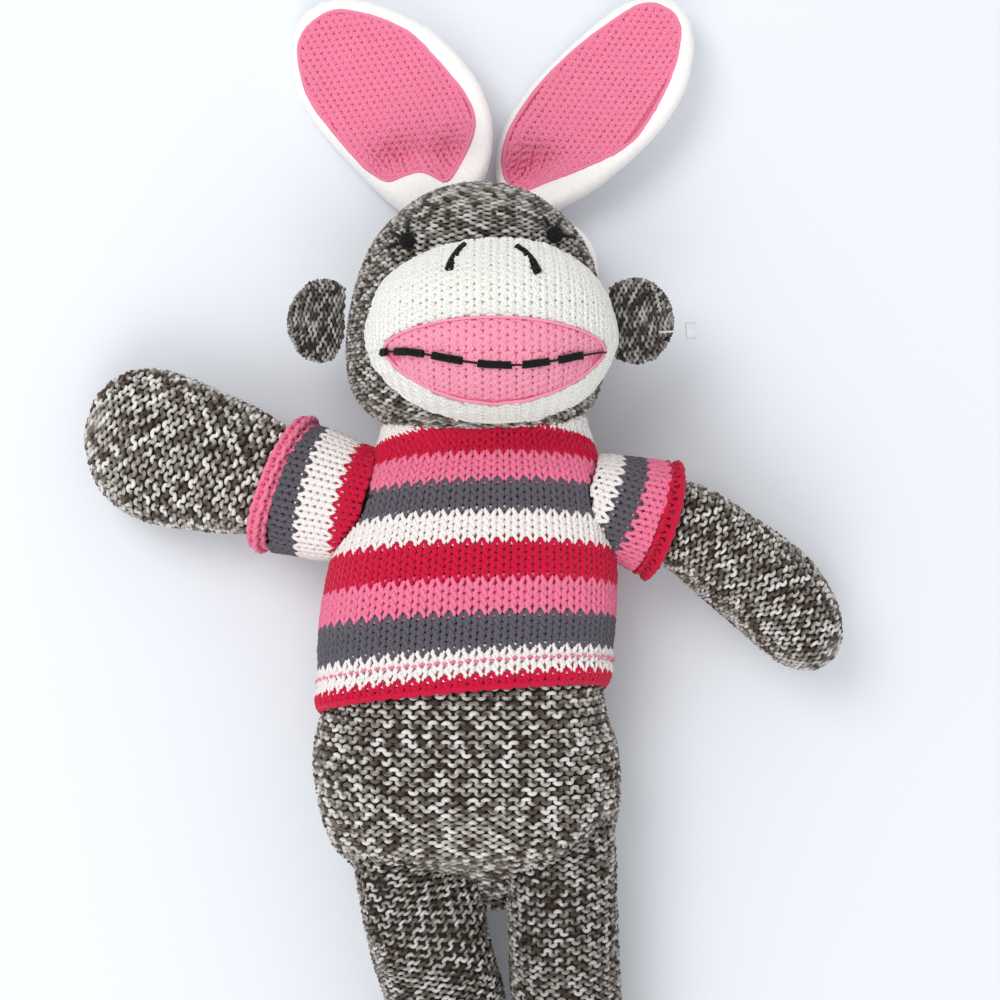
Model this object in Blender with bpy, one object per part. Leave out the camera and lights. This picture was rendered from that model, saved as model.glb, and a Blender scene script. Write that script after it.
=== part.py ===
"""A knitted sock monkey doll with sewn-on bunny ears and a striped sweater.

The doll lies on its back: +Z is its belly side, +Y points to the top of its head and
left means the side at -X. The origin is on the flat of its back, between the hips.
Every stuffed form is a stack of oval sections along a straight line. The knitted skin is
a shell of that form, left open where it is sewn, and the stuffing fills it with a small
clearance. Smaller forms are cut back by the larger ones that they are sewn to.
All sizes are in metres.
"""

import math

import bmesh
import bpy
from mathutils import Matrix, Vector
from mathutils.bvhtree import BVHTree

# Fabric, thread and fits
skin_wall = 0.0018
fit_gap = 0.0003
stuffing_gap = 0.0004
seam_slit = 0.0011
cut_overrun = 0.002
rest_flat_depth = 0.0005

# Torso: a pear that is widest at the hips
torso_length = 0.164
torso_below_origin = 0.0445
torso_half_width = 0.0541
torso_half_depth = 0.0372
torso_fullness = 2.35
torso_start_cap = 0.026
torso_end_cap = 0.012
neck_height = 0.0362
torso_width_shares = ((0, 0.80), (0.08, 0.88), (0.19, 0.945), (0.31, 0.998), (0.40, 0.965), (0.46, 0.885),
                      (0.60, 0.905), (0.74, 0.885), (0.86, 0.81), (0.93, 0.765), (1, 0.74))
torso_depth_shares = ((0, 0.72), (0.10, 0.82), (0.25, 0.96), (0.35, 0.985), (0.435, 0.955), (0.62, 0.92),
                      (0.80, 0.85), (0.91, 0.74), (1, 0.56))
torso_drift_shares = ((0, 0.02), (0.2, -0.05), (0.5, -0.09), (0.75, -0.03), (1, 0.06))
torso_end_blunt = 2.9
torso_lift_shares = ((0, 0.80), (0.10, 0.85), (0.25, 0.96), (0.35, 0.985), (0.435, 1.062), (0.62, 1.025),
                     (0.80, 0.955), (0.92, 0.95), (1, 0.98))

# Neck: a small stuffed ball that fills the neck openings of the torso and the head
neck_radius = 0.0150
neck_axis_x = 0.0022
neck_ball_drop = 0.0055
neck_ball_gap = 0.0006
neck_stuffing_gap = 0.0008
torso_neck_hole = 0.0128
head_neck_hole = 0.0118

# Head
head_above_torso = 0.0036
head_length = 0.0875
head_half_width = 0.0450
head_half_depth = 0.0400
head_centre_x = 0.0000
head_fullness = 2.1
head_start_cap = 0.020
head_end_cap = 0.044
head_jaw_bluntness = 2.9
head_crown_bluntness = 2.15
head_width_shares = ((0, 0.955), (0.16, 0.985), (0.32, 1.0), (0.5, 0.985), (0.72, 0.96), (1, 0.93))
head_depth_shares = ((0, 0.93), (0.2, 0.97), (0.45, 1.0), (0.75, 1.0), (1, 0.97))
head_drift_shares = ((0, 0.0), (0.3, -0.02), (0.6, 0.0), (1, 0.02))

# Muzzle: a stuffed dome on the front of the head
muzzle_half_width = 0.0426
muzzle_half_height = 0.0308
muzzle_half_depth = 0.0350
muzzle_shift_x = 0.0049
muzzle_above_jaw = 0.0338
muzzle_above_head_axis = 0.0235
muzzle_fullness = 2.15
muzzle_cap_share = 0.985

# Lips: a pink panel on the muzzle
lips_thickness = 0.0013
lips_half_width = 0.0384
lips_shift_x = 0.0011
lips_corner_drop = 0.0062
lips_rise = 0.0088
lips_fall = 0.0192
lips_outline_steps = 12
lips_arch_share = 0.8

# Black stitches of the face
mouth_thread_radius = 0.00034
mouth_bar_radius = 0.00145
mouth_half_width = 0.0371
mouth_shift_x = 0.0009
mouth_corner_drop = 0.0075
mouth_sag = 0.0052
mouth_steps = 36
mouth_flatness_share = 0.55
mouth_bar_shares = ((0.0, 0.025), (0.062, 0.190), (0.232, 0.362), (0.428, 0.575), (0.622, 0.742), (0.780, 0.892))
nostril_radius = 0.0011
nostril_steps = 5
nostril_up_bow = 0.0011
nostril_side_bow = 0.00055
nostril_left_shares = ((-0.197, 0.867), (-0.317, 0.600))
nostril_right_shares = ((0.190, 0.838), (0.343, 0.558))

# Eyes and lashes
eye_radius = 0.0026
eye_flatness_share = 0.75
eye_sink_share = 0.25
eye_left_shares = (-0.509, 0.728)
eye_right_shares = (0.564, 0.754)
lash_radius = 0.00055
lash_length = 0.0040
lash_steps = 4
lash_distance = 0.0050
lash_left_turn_shares = (0.249, 0.415, 0.540)
lash_right_turn_shares = (0.326, 0.187, 0.000)

# Monkey ears: round pads sewn along the sides of the head
monkey_ear_left_reach = 0.0200
monkey_ear_right_reach = 0.0232
monkey_ear_half_height = 0.0156
monkey_ear_half_depth = 0.0068
monkey_ear_end_cap = 0.0125
monkey_ear_left_height_share = 0.435
monkey_ear_right_height_share = 0.440
monkey_ear_above_head_axis = 0.006
monkey_ear_seam_share = 0.52
monkey_ear_width_shares = ((0, 0.80), (0.22, 0.92), (0.48, 1.0), (1, 0.985))
monkey_ear_depth_shares = ((0, 0.25), (0.25, 0.70), (0.55, 1.0), (1, 0.92))

# Bunny ears: fleece leaves with a knitted pink lining
bunny_ear_length = 0.0985
bunny_ear_half_width = 0.0272
bunny_ear_half_depth = 0.0045
bunny_ear_end_cap = 0.036
bunny_ear_fullness = 2.0
bunny_ear_root_height = 0.0135
bunny_ear_left_x = -0.0035
bunny_ear_right_x = 0.0125
bunny_ear_left_splay = math.radians(36.5)
bunny_ear_right_splay = math.radians(-33.0)
bunny_ear_left_roll = math.radians(-14.0)
bunny_ear_right_roll = math.radians(-20.0)
bunny_ear_left_droop = math.radians(2.5)
bunny_ear_right_droop = math.radians(-0.6)
bunny_ear_width_shares = ((0, 0.26), (0.07, 0.36), (0.17, 0.68), (0.33, 0.90), (0.52, 1.0), (0.72, 0.975),
                          (1, 0.87))
bunny_ear_depth_shares = ((0, 0.72), (0.12, 0.80), (0.4, 1.0), (1, 0.90))
bunny_ear_left_root_gap = 0.0003
bunny_ear_right_root_gap = 0.0015
lining_margin = 0.0040
lining_half_depth = 0.0035
lining_rise = 0.0022
lining_start_share = 0.10

# Fleece band of the bunny ears, round the back of the head
ear_band_half_height = 0.0075
ear_band_half_depth = 0.0032
ear_band_height = 0.0200
ear_band_steps = 8
ear_band_turn_shares = (0.128, 0.036)
ear_band_tip_share = 0.06

# Arms
limb_fullness = 2.1
arm_left_length = 0.1030
arm_right_length = 0.0830
arm_left_shoulder_drop = 0.0210
arm_right_shoulder_drop = 0.0200
arm_left_turn = math.radians(162.5)
arm_right_turn = math.radians(0.0)
arm_left_drop = math.radians(11.0)
arm_right_drop = math.radians(8.0)
arm_left_half_width = 0.0272
arm_left_half_depth = 0.0178
arm_right_half_width = 0.0226
arm_right_half_depth = 0.0240
arm_left_end_cap = 0.024
arm_right_end_cap = 0.020
arm_left_width_shares = ((0, 0.58), (0.18, 0.68), (0.30, 0.715), (0.42, 0.85), (0.70, 1.0), (1, 0.97))
arm_left_depth_shares = ((0, 0.11), (0.16, 0.55), (0.34, 0.88), (0.55, 1.0), (1, 0.97))
arm_right_width_shares = ((0, 0.62), (0.15, 0.66), (0.25, 0.68), (0.42, 0.88), (0.80, 1.0), (1, 0.97))
arm_right_depth_shares = ((0, 0.08), (0.18, 0.50), (0.38, 0.82), (0.62, 0.97), (1, 1.0))
arm_left_drift_shares = ((0, 0.0), (0.4, -0.03), (0.75, -0.05), (1, 0.10))
arm_right_drift_shares = ((0, 0.0), (0.34, 0.46), (0.77, 1.57), (1, 2.02))

# Legs
leg_length = 0.1560
hip_left_rise = 0.0205
hip_right_rise = 0.0240
hip_seam_height = 0.0460
leg_left_x = -0.0262
leg_right_x = 0.0282
leg_left_turn = math.radians(-83.0)
leg_right_turn = math.radians(-88.0)
leg_drop = math.radians(11.8)
leg_left_half_width = 0.0208
leg_right_half_width = 0.0192
leg_half_depth = 0.0192
leg_end_cap = 0.024
leg_swings = (math.radians(-8.0), math.radians(30.0), math.radians(60.0), math.radians(90.0))
leg_stuffing_room = 0.0036
leg_width_shares = ((0, 0.90), (0.12, 0.98), (0.35, 1.0), (0.70, 0.96), (1, 1.0))
leg_depth_shares = ((0, 0.115), (0.10, 0.58), (0.26, 0.93), (0.50, 1.0), (0.80, 0.97), (1, 1.0))
leg_left_drift_shares = ((0, 0.0), (0.10, -0.05), (0.32, -0.42), (0.55, -0.30), (1, 0.45))
leg_right_drift_shares = ((0, 0.0), (0.3, -0.03), (0.6, -0.14), (1, -0.32))

# Sweater
sweater_thickness = 0.0021
hem_centre_y = 0.0333
hem_slant = math.radians(6.0)
hem_tilt = math.radians(4.5)
hem_band_width = 0.0066
hem_band_thickness = 0.0029
hem_thread_radius = 0.0005
hem_thread_rise = 0.0026
hem_thread_steps = 36
armhole_half_length = 0.0185
armhole_half_height = 0.0185
neckband_start_share = 0.955
neckband_half_width = 0.0350
neckband_half_depth = 0.0215
neckband_centre_rise = 0.0010
neckband_steps = 24

# Sleeves and their rolled cuffs
sleeve_thickness = 0.0021
sleeve_inset = 0.010
sleeve_rings = 4
sleeve_sides = 16
sleeve_left_length = 0.0235
sleeve_right_length = 0.0145
sleeve_left_half_width = 0.0240
sleeve_left_half_depth = 0.0190
sleeve_right_half_width = 0.0190
sleeve_right_half_depth = 0.0215
sleeve_left_slant_share = 0.0
sleeve_right_slant_share = -0.34
sleeve_width_shares = ((0, 0.86), (0.35, 0.88), (0.75, 0.95), (1, 1.0))
sleeve_depth_shares = ((0, 0.93), (0.35, 0.94), (0.75, 0.97), (1, 1.0))
cuff_radius = 0.0026
cuff_steps = 18

# Clear loop of a hang tag, pushed through the right monkey ear
tag_thread_radius = 0.0004
tag_length = 0.0095
tag_place_shares = (0.74, 0.30)
tag_paddle_half_width = 0.0016
tag_paddle_half_length = 0.0030
tag_paddle_thickness = 0.0012
tag_paddle_fullness = 3.0
tag_steps = 4

# Fineness of the meshes
torso_sides = 24
torso_rings = 12
head_sides = 24
head_rings = 7
muzzle_sides = 24
muzzle_rings = 3
limb_sides = 16
limb_rings = 9
ear_sides = 14
ear_rings = 7
lining_sides = 12
inner_sides = 12
inner_rings = 6
cap_rings = 3
thread_sides = 6

# Colours from the photograph: (red, green, blue), roughness
marl_brown = (0.205, 0.175, 0.160, 1.0)
fibre_white = (0.80, 0.79, 0.76, 1.0)
knit_white = (0.86, 0.84, 0.79, 1.0)
fleece_white = (0.90, 0.88, 0.84, 1.0)
lip_pink = (0.86, 0.30, 0.42, 1.0)
lining_pink = (0.83, 0.19, 0.31, 1.0)
sweater_crimson = (0.50, 0.02, 0.07, 1.0)
sweater_pink = (0.71, 0.17, 0.29, 1.0)
thread_black = (0.012, 0.011, 0.012, 1.0)
eye_black = (0.008, 0.008, 0.009, 1.0)
clear_plastic = (0.85, 0.78, 0.78, 1.0)
knit_roughness = 0.95
thread_roughness = 0.7
eye_roughness = 0.18
plastic_roughness = 0.25

X_AXIS = Vector((1, 0, 0))
Y_AXIS = Vector((0, 1, 0))
Z_AXIS = Vector((0, 0, 1))
level_shares = ((0, 0.0), (1, 0.0))
even_shares = ((0, 1.0), (1, 1.0))


def clear_scene():
    for old in list(bpy.data.objects):
        bpy.data.objects.remove(old, do_unlink=True)


def material(name, colour, roughness):
    made = bpy.data.materials.get(name) or bpy.data.materials.new(name)
    made.use_nodes = True
    shader = made.node_tree.nodes["Principled BSDF"]
    shader.inputs["Base Color"].default_value = colour
    shader.inputs["Roughness"].default_value = roughness
    shader.inputs["Metallic"].default_value = 0.0
    made.diffuse_color = colour
    return made


def smooth_value(table, share):
    """The table's value at a share, along a curve through its entries with no overshoot."""
    if share <= table[0][0]:
        return table[0][1]
    for k in range(len(table) - 1):
        (a, low), (b, high) = table[k], table[k + 1]
        if share <= b:
            before = table[max(k - 1, 0)]
            after = table[min(k + 2, len(table) - 1)]
            slope_a = (high - before[1]) / (b - before[0])
            slope_b = (after[1] - low) / (after[0] - a)
            u = (share - a) / (b - a)
            run = b - a
            return (low * (2 * u ** 3 - 3 * u ** 2 + 1) + high * (3 * u ** 2 - 2 * u ** 3)
                    + run * slope_a * (u ** 3 - 2 * u ** 2 + u) + run * slope_b * (u ** 3 - u ** 2))
    return table[-1][1]


def power(value, exponent):
    return math.copysign(abs(value) ** exponent, value)


class Form:
    """A stuffed shape: oval sections stacked along a straight line from its origin."""

    def __init__(self, origin, along, up, length, half_width, half_depth, width_shares=even_shares,
                 depth_shares=even_shares, drift_shares=level_shares, lift_shares=level_shares, start_cap=None,
                 end_cap=None, start_blunt=2.0, end_blunt=2.0, fullness=2.2):
        self.origin = Vector(origin)
        self.along = along.normalized()
        self.side = self.along.cross(up).normalized()
        self.up = self.side.cross(self.along).normalized()
        self.length = length
        self.half_width = half_width
        self.half_depth = half_depth
        self.width_shares = width_shares
        self.depth_shares = depth_shares
        self.drift_shares = drift_shares
        self.lift_shares = lift_shares
        self.start_cap = start_cap
        self.end_cap = end_cap
        self.start_blunt = start_blunt
        self.end_blunt = end_blunt
        self.fullness = fullness

    def seam_radius(self):
        """Half the thickness of a flat sewn end."""
        return self.half_depth * smooth_value(self.depth_shares, 0)

    def section(self, share, grow=0.0, floor=0.0):
        """The centre, half width and half depth of the section at a share of the length."""
        width = self.half_width * smooth_value(self.width_shares, share) + grow
        depth = self.half_depth * smooth_value(self.depth_shares, share) + grow
        centre = (self.origin + self.along * (self.length * share)
                  + self.side * (self.half_width * smooth_value(self.drift_shares, share))
                  + self.up * (self.half_depth * smooth_value(self.lift_shares, share)))
        return centre, width, max(depth, floor)

    def rings(self, count, grow=0.0, start_share=None):
        """(centre, half width, half depth) of each section, from the start to the end."""
        made = []
        first = 0.0
        slit = seam_slit / 2 + grow + skin_wall
        if start_share is not None:
            first = start_share
        elif self.start_cap:
            first = self.start_cap / self.length
            for k in range(cap_rings):
                angle = math.radians(90) * (k + 0.45) / cap_rings
                back = (self.start_cap + grow) * math.cos(angle) ** (2 / self.start_blunt)
                scale = math.sin(angle) ** (2 / self.start_blunt)
                share = (self.start_cap - back) / self.length
                centre, width, depth = self.section(max(share, 0), grow)
                centre += self.along * (self.length * min(share, 0))
                made.append((centre, width * scale, depth * scale))
        elif grow < 0:
            centre, width, depth = self.section(0, grow, slit)
            made.append((centre - self.along * cut_overrun, width, slit))
        else:
            radius = self.seam_radius() + grow
            first = self.seam_radius() / self.length
            for angle in (math.radians(22), math.radians(52)):
                centre, width, depth = self.section(0, grow)
                ahead = self.seam_radius() - radius * math.cos(angle)
                made.append((centre + self.along * ahead, width, radius * math.sin(angle)))
        last = 1 - self.end_cap / self.length if self.end_cap else 1.0
        for k in range(count):
            share = first + (last - first) * k / (count - 1)
            made.append(self.section(share, grow, slit))
        if self.end_cap:
            for k in range(1, cap_rings + 1):
                angle = math.radians(90) * min(k, cap_rings - 0.45) / cap_rings
                if k == cap_rings:
                    angle = math.radians(90) * (cap_rings - 0.45) / cap_rings
                ahead = (self.end_cap + grow) * math.sin(angle) ** (2 / self.end_blunt)
                scale = math.cos(angle) ** (2 / self.end_blunt)
                share = (self.length - self.end_cap + ahead) / self.length
                centre, width, depth = self.section(min(share, 1), grow)
                centre += self.along * (self.length * max(share - 1, 0))
                made.append((centre, width * scale, depth * scale))
        return made

    def poles(self, grow, start_share):
        """The tips of the rounded ends, or None at an end that closes flat."""
        start = end = None
        if self.start_cap and start_share is None:
            start = self.section(0)[0] - self.along * grow
        if self.end_cap:
            end = self.section(1)[0] + self.along * grow
        return start, end

    def mesh(self, rings, sides, grow=0.0, start_share=None, skip=0, slant=0.0):
        """A closed bmesh of the form. Its first rings can be skipped, and its end can slant."""
        bm = bmesh.new()
        loops = []
        made = self.rings(rings, grow, start_share)[skip:]
        for n, (centre, width, depth) in enumerate(made):
            lean = slant * n / (len(made) - 1)
            loop = []
            for k in range(sides):
                angle = math.radians(360) * (k + 0.5) / sides
                across = width * power(math.cos(angle), 2 / self.fullness)
                above = depth * power(math.sin(angle), 2 / self.fullness)
                ahead = self.along * (lean * across)
                loop.append(bm.verts.new(centre + self.side * across + self.up * above + ahead))
            loops.append(loop)
        start, end = self.poles(grow, start_share)
        close_loops(bm, loops, start, end)
        return bm

    def tree(self, rings, sides, grow=0.0):
        bm = self.mesh(rings, sides, grow)
        bmesh.ops.triangulate(bm, faces=bm.faces)
        made = BVHTree.FromBMesh(bm)
        bm.free()
        return made


def close_loops(bm, loops, start=None, end=None):
    """Joins rings of points with faces and closes both ends, at a tip where one is given."""
    sides = len(loops[0])
    for here, there in zip(loops, loops[1:]):
        for k in range(sides):
            n = (k + 1) % sides
            bm.faces.new((here[k], there[k], there[n]))
            bm.faces.new((here[k], there[n], here[n]))
    for loop, tip, order in ((loops[0], start, 1), (loops[-1], end, -1)):
        if tip is None:
            bm.faces.new(loop[::order])
            continue
        point = bm.verts.new(tip)
        for k in range(sides):
            n = (k + 1) % sides
            bm.faces.new((point, loop[k], loop[n])[::order])


def place(name, bm, mat, origin=None):
    """Makes an object of a bmesh whose points are in world space, with its origin as given."""
    mesh = bpy.data.meshes.new(name)
    if origin is not None:
        bmesh.ops.translate(bm, verts=bm.verts, vec=-Vector(origin))
    bm.to_mesh(mesh)
    bm.free()
    made = bpy.data.objects.new(name, mesh)
    if origin is not None:
        made.location = origin
    if mat is not None:
        mesh.materials.append(mat)
    mesh.shade_smooth()
    bpy.context.scene.collection.objects.link(made)
    return made


def cutter(name, bm):
    made = place(name, bm, None)
    made.hide_render = True
    made.display_type = "WIRE"
    return made


def boolean(target, tool, operation="DIFFERENCE"):
    step = target.modifiers.new(tool.name, "BOOLEAN")
    step.operation = operation
    step.solver = "EXACT"
    step.object = tool


def block(centre, half_sizes, turn=None):
    """A box with half its sizes given, turned about its centre."""
    bm = bmesh.new()
    bmesh.ops.create_cube(bm, size=2.0)
    grown = Matrix.Diagonal((*half_sizes, 1.0))
    turned = turn.to_4x4() if turn else Matrix.Identity(4)
    bmesh.ops.transform(bm, matrix=Matrix.Translation(centre) @ turned @ grown, verts=bm.verts)
    return bm


def oval_prism(centre, along, up, half_length, half_width, half_depth, sides):
    """A straight oval rod, used for openings."""
    shape = Form(centre - along * half_length, along, up, 2 * half_length, half_width, half_depth,
                 start_cap=None, fullness=2.0)
    return shape.mesh(2, sides, start_share=0.0)


def ball(centre, radius, rings, sides):
    return Form(centre - Y_AXIS * radius, Y_AXIS, Z_AXIS, 2 * radius, radius, radius, start_cap=radius,
                end_cap=radius, fullness=2.0).mesh(rings, sides)


def cord(points, radii, sides, normals=None, flatness=1.0, closed=False):
    """A tube through points, each with its own radius. Normals give the way that its flat side faces."""
    bm = bmesh.new()
    loops = []
    count = len(points)
    for k, point in enumerate(points):
        after = points[(k + 1) % count] if closed else points[min(k + 1, count - 1)]
        before = points[k - 1] if closed else points[max(k - 1, 0)]
        ahead = (after - before).normalized()
        up = normals[k] if normals else Z_AXIS
        across = ahead.cross(up).normalized()
        up = across.cross(ahead).normalized()
        loop = []
        for n in range(sides):
            angle = math.radians(360) * (n + 0.5) / sides
            out = across * math.cos(angle) + up * (math.sin(angle) * flatness)
            loop.append(bm.verts.new(point + out * radii[k]))
        loops.append(loop)
    if closed:
        for here, there in zip(loops, loops[1:] + loops[:1]):
            for n in range(sides):
                m = (n + 1) % sides
                bm.faces.new((here[n], there[n], there[m], here[m]))
    else:
        close_loops(bm, loops)
    return bm


def drop_on(tree, x, y, height):
    """The point of a form that is seen from above at x, y, and the form's normal there."""
    point, normal, _, _ = tree.ray_cast(Vector((x, y, height)), -Z_AXIS)
    return point, normal


def cast_from(tree, origin, direction):
    """Where a ray from inside leaves the form, and the normal there."""
    point, normal, _, _ = tree.ray_cast(origin, direction)
    if normal.dot(direction) < 0:
        normal = -normal
    return point, normal


def main():
    clear_scene()
    marl = material("marl_knit", marl_brown, knit_roughness)
    stuffing = material("polyester_fibre", fibre_white, knit_roughness)
    white_knit = material("white_knit", knit_white, knit_roughness)
    fleece = material("white_fleece", fleece_white, knit_roughness)
    pink_knit = material("lip_pink_knit", lip_pink, knit_roughness)
    lining_knit = material("ear_pink_knit", lining_pink, knit_roughness)
    crimson = material("crimson_knit", sweater_crimson, knit_roughness)
    rose = material("rose_knit", sweater_pink, knit_roughness)
    black = material("black_thread", thread_black, thread_roughness)
    bead = material("black_bead", eye_black, eye_roughness)
    plastic = material("clear_plastic", clear_plastic, plastic_roughness)

    torso = Form(Vector((0, -torso_below_origin, -rest_flat_depth)), Y_AXIS, Z_AXIS, torso_length,
                 torso_half_width, torso_half_depth, torso_width_shares, torso_depth_shares,
                 torso_drift_shares, torso_lift_shares, torso_start_cap, torso_end_cap,
                 end_blunt=torso_end_blunt, fullness=torso_fullness)
    torso_top = torso_length - torso_below_origin
    far = torso_length + head_length
    floor = cutter("floor_cut", block(Vector((0, 0, -far)), (far, far, far)))
    neck_centre = Vector((neck_axis_x, torso_top - neck_ball_drop, neck_height))
    print("neck centre hinge", tuple(round(v, 5) for v in neck_centre))

    build_torso(torso, torso_top, floor, neck_centre, marl, stuffing)
    head = build_head(torso_top, neck_centre, floor, marl, stuffing)
    build_neck(torso_top, neck_centre, marl, black)
    muzzle = build_face(head, torso_top, white_knit, stuffing, pink_knit, black, bead)
    right_ear = build_monkey_ears(head, marl)
    build_bunny_ears(head, torso_top, fleece, lining_knit)
    build_tag(right_ear, plastic)
    arms = build_arms(torso, floor, marl, stuffing)
    build_legs(torso, floor, marl, stuffing)
    sleeves = build_sweater(torso, arms, crimson, rose)
    build_neckband(torso, head, muzzle, sleeves, neck_centre, white_knit)


def build_torso(torso, torso_top, floor, neck_centre, marl, stuffing):
    skin = place("torso_skin", torso.mesh(torso_rings, torso_sides), marl)
    boolean(skin, cutter("torso_inside", torso.mesh(inner_rings + 3, inner_sides + 6, -skin_wall)))
    hole = ball(neck_centre, neck_radius + neck_ball_gap, inner_rings, inner_sides + 2)
    boolean(skin, cutter("torso_neck_ball_room", hole))
    opening = oval_prism(neck_centre, Y_AXIS, Z_AXIS, neck_radius + cut_overrun, torso_neck_hole,
                         torso_neck_hole, inner_sides)
    boolean(skin, cutter("torso_neck_opening", opening))
    boolean(skin, floor)
    inside = -skin_wall - stuffing_gap
    fill = place("torso_stuffing", torso.mesh(inner_rings + 3, inner_sides + 6, inside), stuffing)
    room = ball(neck_centre, neck_radius + neck_stuffing_gap, inner_rings, inner_sides)
    boolean(fill, cutter("torso_stuffing_neck_room", room))
    above_floor = block(Vector((0, 0, -torso_length)),
                        (torso_length, torso_length, torso_length + skin_wall + stuffing_gap))
    boolean(fill, cutter("torso_stuffing_floor_cut", above_floor))


def build_head(torso_top, neck_centre, floor, marl, stuffing):
    start = Vector((head_centre_x, torso_top + head_above_torso, head_half_depth + fit_gap))
    head = Form(start, Y_AXIS, Z_AXIS, head_length, head_half_width, head_half_depth,
                head_width_shares, head_depth_shares, head_drift_shares, level_shares, head_start_cap,
                head_end_cap, head_jaw_bluntness, head_crown_bluntness, head_fullness)
    skin = place("head_skin", head.mesh(head_rings, head_sides), marl, neck_centre)
    boolean(skin, cutter("head_inside", head.mesh(inner_rings - 1, inner_sides + 4, -skin_wall)))
    opening = oval_prism(neck_centre + Y_AXIS * neck_radius, Y_AXIS, Z_AXIS, neck_radius,
                         head_neck_hole, head_neck_hole, inner_sides)
    boolean(skin, cutter("head_neck_opening", opening))
    room = ball(neck_centre, neck_radius + neck_ball_gap, inner_rings, inner_sides + 2)
    room_cutter = cutter("head_neck_ball_room", room)
    boolean(skin, room_cutter)
    fill_bm = head.mesh(inner_rings - 1, inner_sides + 4, -skin_wall - stuffing_gap)
    fill = place("head_stuffing", fill_bm, stuffing, neck_centre)
    boolean(fill, room_cutter)
    return head


def build_neck(torso_top, neck_centre, marl, black):
    stub = ball(neck_centre, neck_radius, inner_rings, inner_sides)
    place("neck_stub", stub, marl, neck_centre)


def build_face(head, torso_top, white_knit, stuffing, pink_knit, black, bead):
    centre = Vector((head_centre_x + muzzle_shift_x,
                     torso_top + head_above_torso + muzzle_above_jaw,
                     head.origin.z + muzzle_above_head_axis))
    bottom = centre - Y_AXIS * muzzle_half_height
    muzzle = Form(bottom, Y_AXIS, Z_AXIS, 2 * muzzle_half_height, muzzle_half_width, muzzle_half_depth,
                  start_cap=muzzle_half_height * muzzle_cap_share,
                  end_cap=muzzle_half_height * muzzle_cap_share,
                  start_blunt=muzzle_fullness, end_blunt=muzzle_fullness, fullness=muzzle_fullness)
    head_room = cutter("muzzle_head_room", head.mesh(head_rings, head_sides, fit_gap))
    skin = place("muzzle_skin", muzzle.mesh(muzzle_rings, muzzle_sides), white_knit)
    boolean(skin, cutter("muzzle_inside", muzzle.mesh(muzzle_rings, inner_sides + 2, -skin_wall)))
    boolean(skin, head_room)
    fill = place("muzzle_stuffing", muzzle.mesh(muzzle_rings, inner_sides + 2, -skin_wall - stuffing_gap), stuffing)
    boolean(fill, head_room)

    high = centre.z + head_length
    lips_centre = centre + X_AXIS * lips_shift_x - Y_AXIS * lips_corner_drop
    build_lips(muzzle, lips_centre, high, pink_knit)
    build_mouth(muzzle, centre, high, black)
    build_nostrils(muzzle, centre, high, black)
    build_eyes(head, high, black, bead)
    return muzzle


def build_lips(muzzle, lips_centre, high, pink_knit):
    panel = place("lips_panel", muzzle.mesh(muzzle_rings, muzzle_sides, fit_gap + lips_thickness), pink_knit)
    boolean(panel, cutter("lips_muzzle_room", muzzle.mesh(muzzle_rings, muzzle_sides, fit_gap)))
    bm = bmesh.new()
    upper = []
    lower = []
    for k in range(lips_outline_steps + 1):
        across = -math.cos(math.radians(180) * k / lips_outline_steps)
        arch = max(1 - across ** 2, 0) ** lips_arch_share
        x = lips_centre.x + lips_half_width * across
        upper.append(bm.verts.new((x, lips_centre.y + lips_rise * arch, lips_centre.z)))
        if 0 < k < lips_outline_steps:
            lower.append(bm.verts.new((x, lips_centre.y - lips_fall * arch, lips_centre.z)))
    face = bm.faces.new(lower + upper[::-1])
    made = bmesh.ops.extrude_face_region(bm, geom=[face])
    raised = [v for v in made["geom"] if isinstance(v, bmesh.types.BMVert)]
    bmesh.ops.translate(bm, verts=raised, vec=Z_AXIS * (high - lips_centre.z))
    bmesh.ops.recalc_face_normals(bm, faces=bm.faces)
    boolean(panel, cutter("lips_outline", bm), "INTERSECT")


def build_mouth(muzzle, centre, high, black):
    tree = muzzle.tree(muzzle_rings, muzzle_sides, fit_gap + lips_thickness + fit_gap)
    points = []
    radii = []
    normals = []
    for k in range(mouth_steps + 1):
        share = k / mouth_steps
        across = 2 * share - 1
        x = centre.x + mouth_shift_x + mouth_half_width * across
        y = centre.y - mouth_corner_drop - mouth_sag * (1 - across ** 2)
        point, normal = drop_on(tree, x, y, high)
        inside = any(a <= share <= b for a, b in mouth_bar_shares)
        radius = mouth_bar_radius if inside else mouth_thread_radius
        points.append(point + normal * (mouth_thread_radius + radius * mouth_flatness_share))
        radii.append(radius)
        normals.append(normal)
    place("mouth_stitch", cord(points, radii, thread_sides - 1, normals,
                               mouth_flatness_share), black)


def build_nostrils(muzzle, centre, high, black):
    tree = muzzle.tree(muzzle_rings, muzzle_sides, fit_gap)
    for name, ends, bow in (("nostril_left", nostril_left_shares, -1), ("nostril_right", nostril_right_shares, 1)):
        points = []
        normals = []
        for k in range(nostril_steps + 1):
            share = k / nostril_steps
            x = centre.x + muzzle_half_width * (ends[0][0] + (ends[1][0] - ends[0][0]) * share)
            y = centre.y + muzzle_half_height * (ends[0][1] + (ends[1][1] - ends[0][1]) * share)
            arch = 1 - (2 * share - 1) ** 2
            x += bow * nostril_side_bow * arch
            y += nostril_up_bow * arch
            point, normal = drop_on(tree, x, y, high)
            points.append(point + normal * nostril_radius)
            normals.append(normal)
        place(name, cord(points, [nostril_radius] * len(points), thread_sides, normals), black)


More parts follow.
